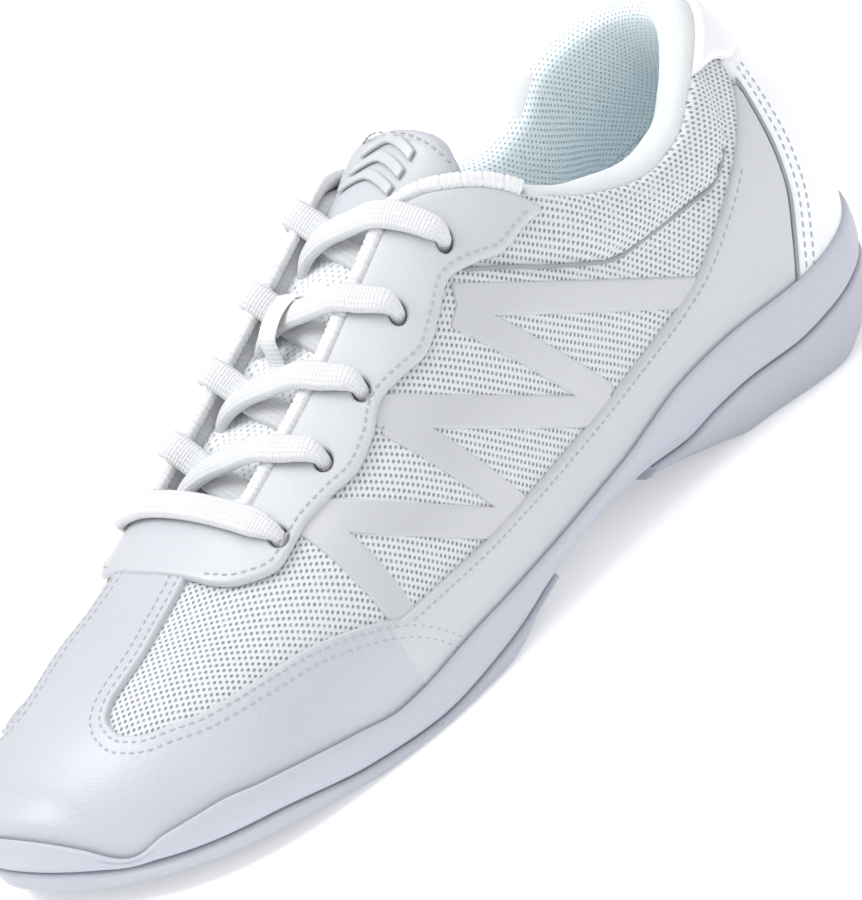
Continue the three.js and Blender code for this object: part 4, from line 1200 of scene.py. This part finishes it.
front_bar = [(-48.6, 0.3, OVER_FLAP, LACE_WIDTH), (-49.2, 0.2, OVER_FLAP, LACE_WIDTH),
             (-49.4, 0.1, OVER_FLAP, LACE_WIDTH)]
route = [*(lace_half(-1) + lace_tail(-1))[::-1], *[(x, -t, d, w) for x, t, d, w in front_bar],
         (-49.4, 0, OVER_FLAP, LACE_WIDTH), *front_bar[::-1], *lace_half(1), *lace_tail(1)]
route = np.array(route, float)
knots = lifted(route[:, 0], route[:, 1], route[:, 2])
normals = outward(route[:, 0], route[:, 1])


def smooth_run(points, per_piece):
    """Centripetal Catmull-Rom through points; returns points and their place along the knots."""
    padded_ends = np.vstack([2 * points[0] - points[1], points, 2 * points[-1] - points[-2]])
    gaps = np.sqrt(np.linalg.norm(np.diff(padded_ends, axis=0), axis=1))
    times = np.concatenate([[0], np.cumsum(gaps)])
    out, at = [], []
    for i in range(1, len(padded_ends) - 2):
        p0, p1, p2, p3 = padded_ends[i - 1:i + 3]
        t0, t1, t2, t3 = times[i - 1:i + 3]
        for s in np.linspace(0, 1, per_piece, endpoint=False):
            t = t1 + s * (t2 - t1)
            a1 = (t1 - t) / (t1 - t0) * p0 + (t - t0) / (t1 - t0) * p1
            a2 = (t2 - t) / (t2 - t1) * p1 + (t - t1) / (t2 - t1) * p2
            a3 = (t3 - t) / (t3 - t2) * p2 + (t - t2) / (t3 - t2) * p3
            b1 = (t2 - t) / (t2 - t0) * a1 + (t - t0) / (t2 - t0) * a2
            b2 = (t3 - t) / (t3 - t1) * a2 + (t - t1) / (t3 - t1) * a3
            out.append((t2 - t) / (t2 - t1) * b1 + (t - t1) / (t2 - t1) * b2)
            at.append(i - 1 + s)
    out.append(points[-1])
    at.append(len(points) - 1)
    return np.array(out), np.array(at)


lace_points, lace_at = smooth_run(knots, 12)
lace_tangent = unit(np.gradient(lace_points, axis=0))
knot_index = np.round(np.linspace(0, len(lace_points) - 1, len(knots))).astype(int)
flats = []                          # the wide direction of the lace at each knot, turning gently
flat = np.cross(lace_tangent[0], normals[0])
for i, k in enumerate(knot_index):
    tangent = lace_tangent[k]
    aim = np.cross(tangent, normals[i])
    size = np.linalg.norm(aim)
    if aim @ flat < 0:
        aim = -aim
    if size > 0.45:
        flat = mixed(flat, aim / size, 0.7)
    flat = unit(flat - tangent * (flat @ tangent))
    flats.append(flat)
flats = np.array(flats)
lace_flat = np.stack([np.interp(lace_at, np.arange(len(knots)), flats[:, k]) for k in range(3)], -1)
lace_flat = unit(lace_flat - lace_tangent * (lace_flat * lace_tangent).sum(1, keepdims=True))
lace_up = np.cross(lace_flat, lace_tangent)
lace_width = np.interp(lace_at, np.arange(len(knots)), route[:, 3])
turns = np.linspace(0, 2 * np.pi, LACE_SIDES, endpoint=False)
section_x = np.sign(np.cos(turns)) * np.abs(np.cos(turns)) ** 0.88
section_y = np.sign(np.sin(turns)) * np.abs(np.sin(turns)) ** 0.95
lace_rings = (lace_points[:, None] + lace_flat[:, None] * (lace_width[:, None] / 2 * section_x)[..., None]
              + lace_up[:, None] * (LACE_THICK / 2 * section_y)[:, None])
lace_uv = pair(run_along(lace_points)[:, None], LACE_WIDTH / 2 * section_x)
lace = sweep("lace_flat_cord", lace_rings, lace_uv.reshape(-1, 2))
place(lace, lace_cloth, "lace", "lace")

AGLET = ((0.0, 1.2), (0.25, 1.5), (6, 1.52), (7, 1.45), (8, 1.52), (18.5, 1.42), (19.6, 1.2), (20, 0.6))
turn = np.linspace(0, 2 * np.pi, 24, endpoint=False)
for number, end, sign in ((1, 0, -1), (2, -1, 1)):
    away = lace_tangent[end] * sign
    one = lace_flat[end]
    two = np.cross(away, one)
    rings = [[lace_points[end] + away * (0.1 + run) + radius * (one * math.cos(a) + two * math.sin(a))
              for a in turn] for run, radius in AGLET]
    aglet = sweep(f"aglet_{number}_tip", rings)
    place(aglet, clear_plastic, "aglet", f"aglet_{number}")


# ---- piping and stitching
throat_edge = np.vstack([throat_side(-1)[::-1], throat_side(1)[1:]])
piping = bead("throat_piping", moved_path(throat_edge, -1.6), 1.3, 4.2, 3.4, rib=0.2, rib_pitch=1.5)
place(piping, webbing, "leather")


def eyestay_edge(side):
    xs = np.linspace(-64, 44, 70)
    return pair(xs, side * eyestay_wrap(xs))


def band_edge(side):
    return on_line(np.linspace(-38, 98, 70), band_top, side)


def heel_edge(side, high=76):
    zs = np.linspace(high, 31, 30)
    return in_side_view(heel_seam(zs), zs, side)


STITCHING = (                       # edge to follow, distances in from it, height above the skin
    ("eyestay", eyestay_edge, (-2.2,), 2.35), ("band", band_edge, (2.0,), 1.75),
    ("heel", heel_edge, (-2.0, -4.6), 2.15), ("cap", window_edge, (-1.7, -4.2), 1.6))
for name, edge, distances, height in STITCHING:
    rows = [moved_path(edge(side), side * distance) for side in (-1, 1) for distance in distances]
    place(stitch_rows(f"{name}_stitches", rows, height), thread, "leather")

# the seams are beads of dark cord: real seams, painted dark as the shadow line along them
for number, side in ((1, -1), (2, 1)):
    seam_path = on_line(np.linspace(24, 100.5, 60), pad_seam_z, side)
    seam = bead(f"collar_seam_{number}", seam_path, 0.42, 0.95, 0.8, step=1.0, sides=8)
    place(seam, seam_shadow_cord, "mesh")
for side, name in SIDES:
    seam_path = moved_path(heel_edge(side, 75), side * 0.35)
    seam = bead(f"heel_seam_{name}", seam_path, 1.6, 1.0, 0.8, step=1.0, sides=8)
    place(seam, seam_shadow_cord, "leather")

# ---- hidden parts keep a real finish
for name in ("lasting_board", "toe_puff", "heel_stiffener"):
    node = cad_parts[name]
    node.data.materials.clear()
    node.data.materials.append(board_fibre)

# ---- floor, light, camera
bpy.ops.mesh.primitive_plane_add(size=30, location=(0, 0, -0.0004))
floor = bpy.context.object
floor.name = "floor"
floor_paint = Paint("pale glowing floor", (0.95, 0.95, 0.952), 0.9, specular=0.2)
# the floor also glows a little: painted light that lightens the shadows on it and lights the shoe from below
floor_paint.put("Emission Color", (1, 1, 1, 1))
floor_paint.put("Emission Strength", 0.3)
floor.data.materials.append(floor_paint.mat)

world = bpy.data.worlds.new("studio")
world.use_nodes = True
sky = world.node_tree.nodes["Background"]
sky.inputs["Color"].default_value = (0.98, 0.99, 1.0, 1)
sky.inputs["Strength"].default_value = 0.58
bpy.context.scene.world = world
bpy.context.scene.view_settings.view_transform = "Standard"


SHOE_MIDDLE = Vector((0, 0, 0.05))


def softbox(name, place_at, size, power):
    """A rectangular studio light of some watts, aimed at the shoe."""
    lamp = bpy.data.lights.new(name, "AREA")
    lamp.shape = "RECTANGLE"
    lamp.size, lamp.size_y = size
    lamp.energy = power
    obj = bpy.data.objects.new(name, lamp)
    bpy.context.scene.collection.objects.link(obj)
    obj.location = place_at
    obj.rotation_euler = (SHOE_MIDDLE - Vector(place_at)).to_track_quat("-Z", "Y").to_euler()


softbox("key", (-0.75, 0.55, 1.5), (1.0, 1.0), 20)
softbox("overhead", (0.3, 0.0, 1.8), (1.8, 1.8), 18)
softbox("front fill", (-0.6, -1.5, 0.7), (1.2, 0.8), 6)

AZIMUTH, ELEVATION, ROLL = (math.radians(a) for a in (-33.34, 20.21, -25.05))
DISTANCE, AIM_RIGHT, AIM_UP = 2519.0, -5.77, 39.60
back = Vector((math.sin(AZIMUTH) * math.cos(ELEVATION), -math.cos(AZIMUTH) * math.cos(ELEVATION),
               math.sin(ELEVATION)))
level = Vector((math.cos(AZIMUTH), math.sin(AZIMUTH), 0))
upright = back.cross(level)
right = level * math.cos(ROLL) + upright * math.sin(ROLL)
up = upright * math.cos(ROLL) - level * math.sin(ROLL)
eye = right * AIM_RIGHT + up * AIM_UP + back * DISTANCE - Vector(SHIFT)
camera_data = bpy.data.cameras.new("camera")
camera_data.lens = 472.1
camera_data.sensor_width = 36
camera_data.sensor_fit = "HORIZONTAL"
camera_data.clip_end = 50
camera = bpy.data.objects.new("camera", camera_data)
bpy.context.scene.collection.objects.link(camera)
camera.matrix_world = Matrix.Translation(eye * 0.001) @ Matrix(
    [[right[i], up[i], back[i]] for i in range(3)]).to_4x4()
bpy.context.scene.camera = camera
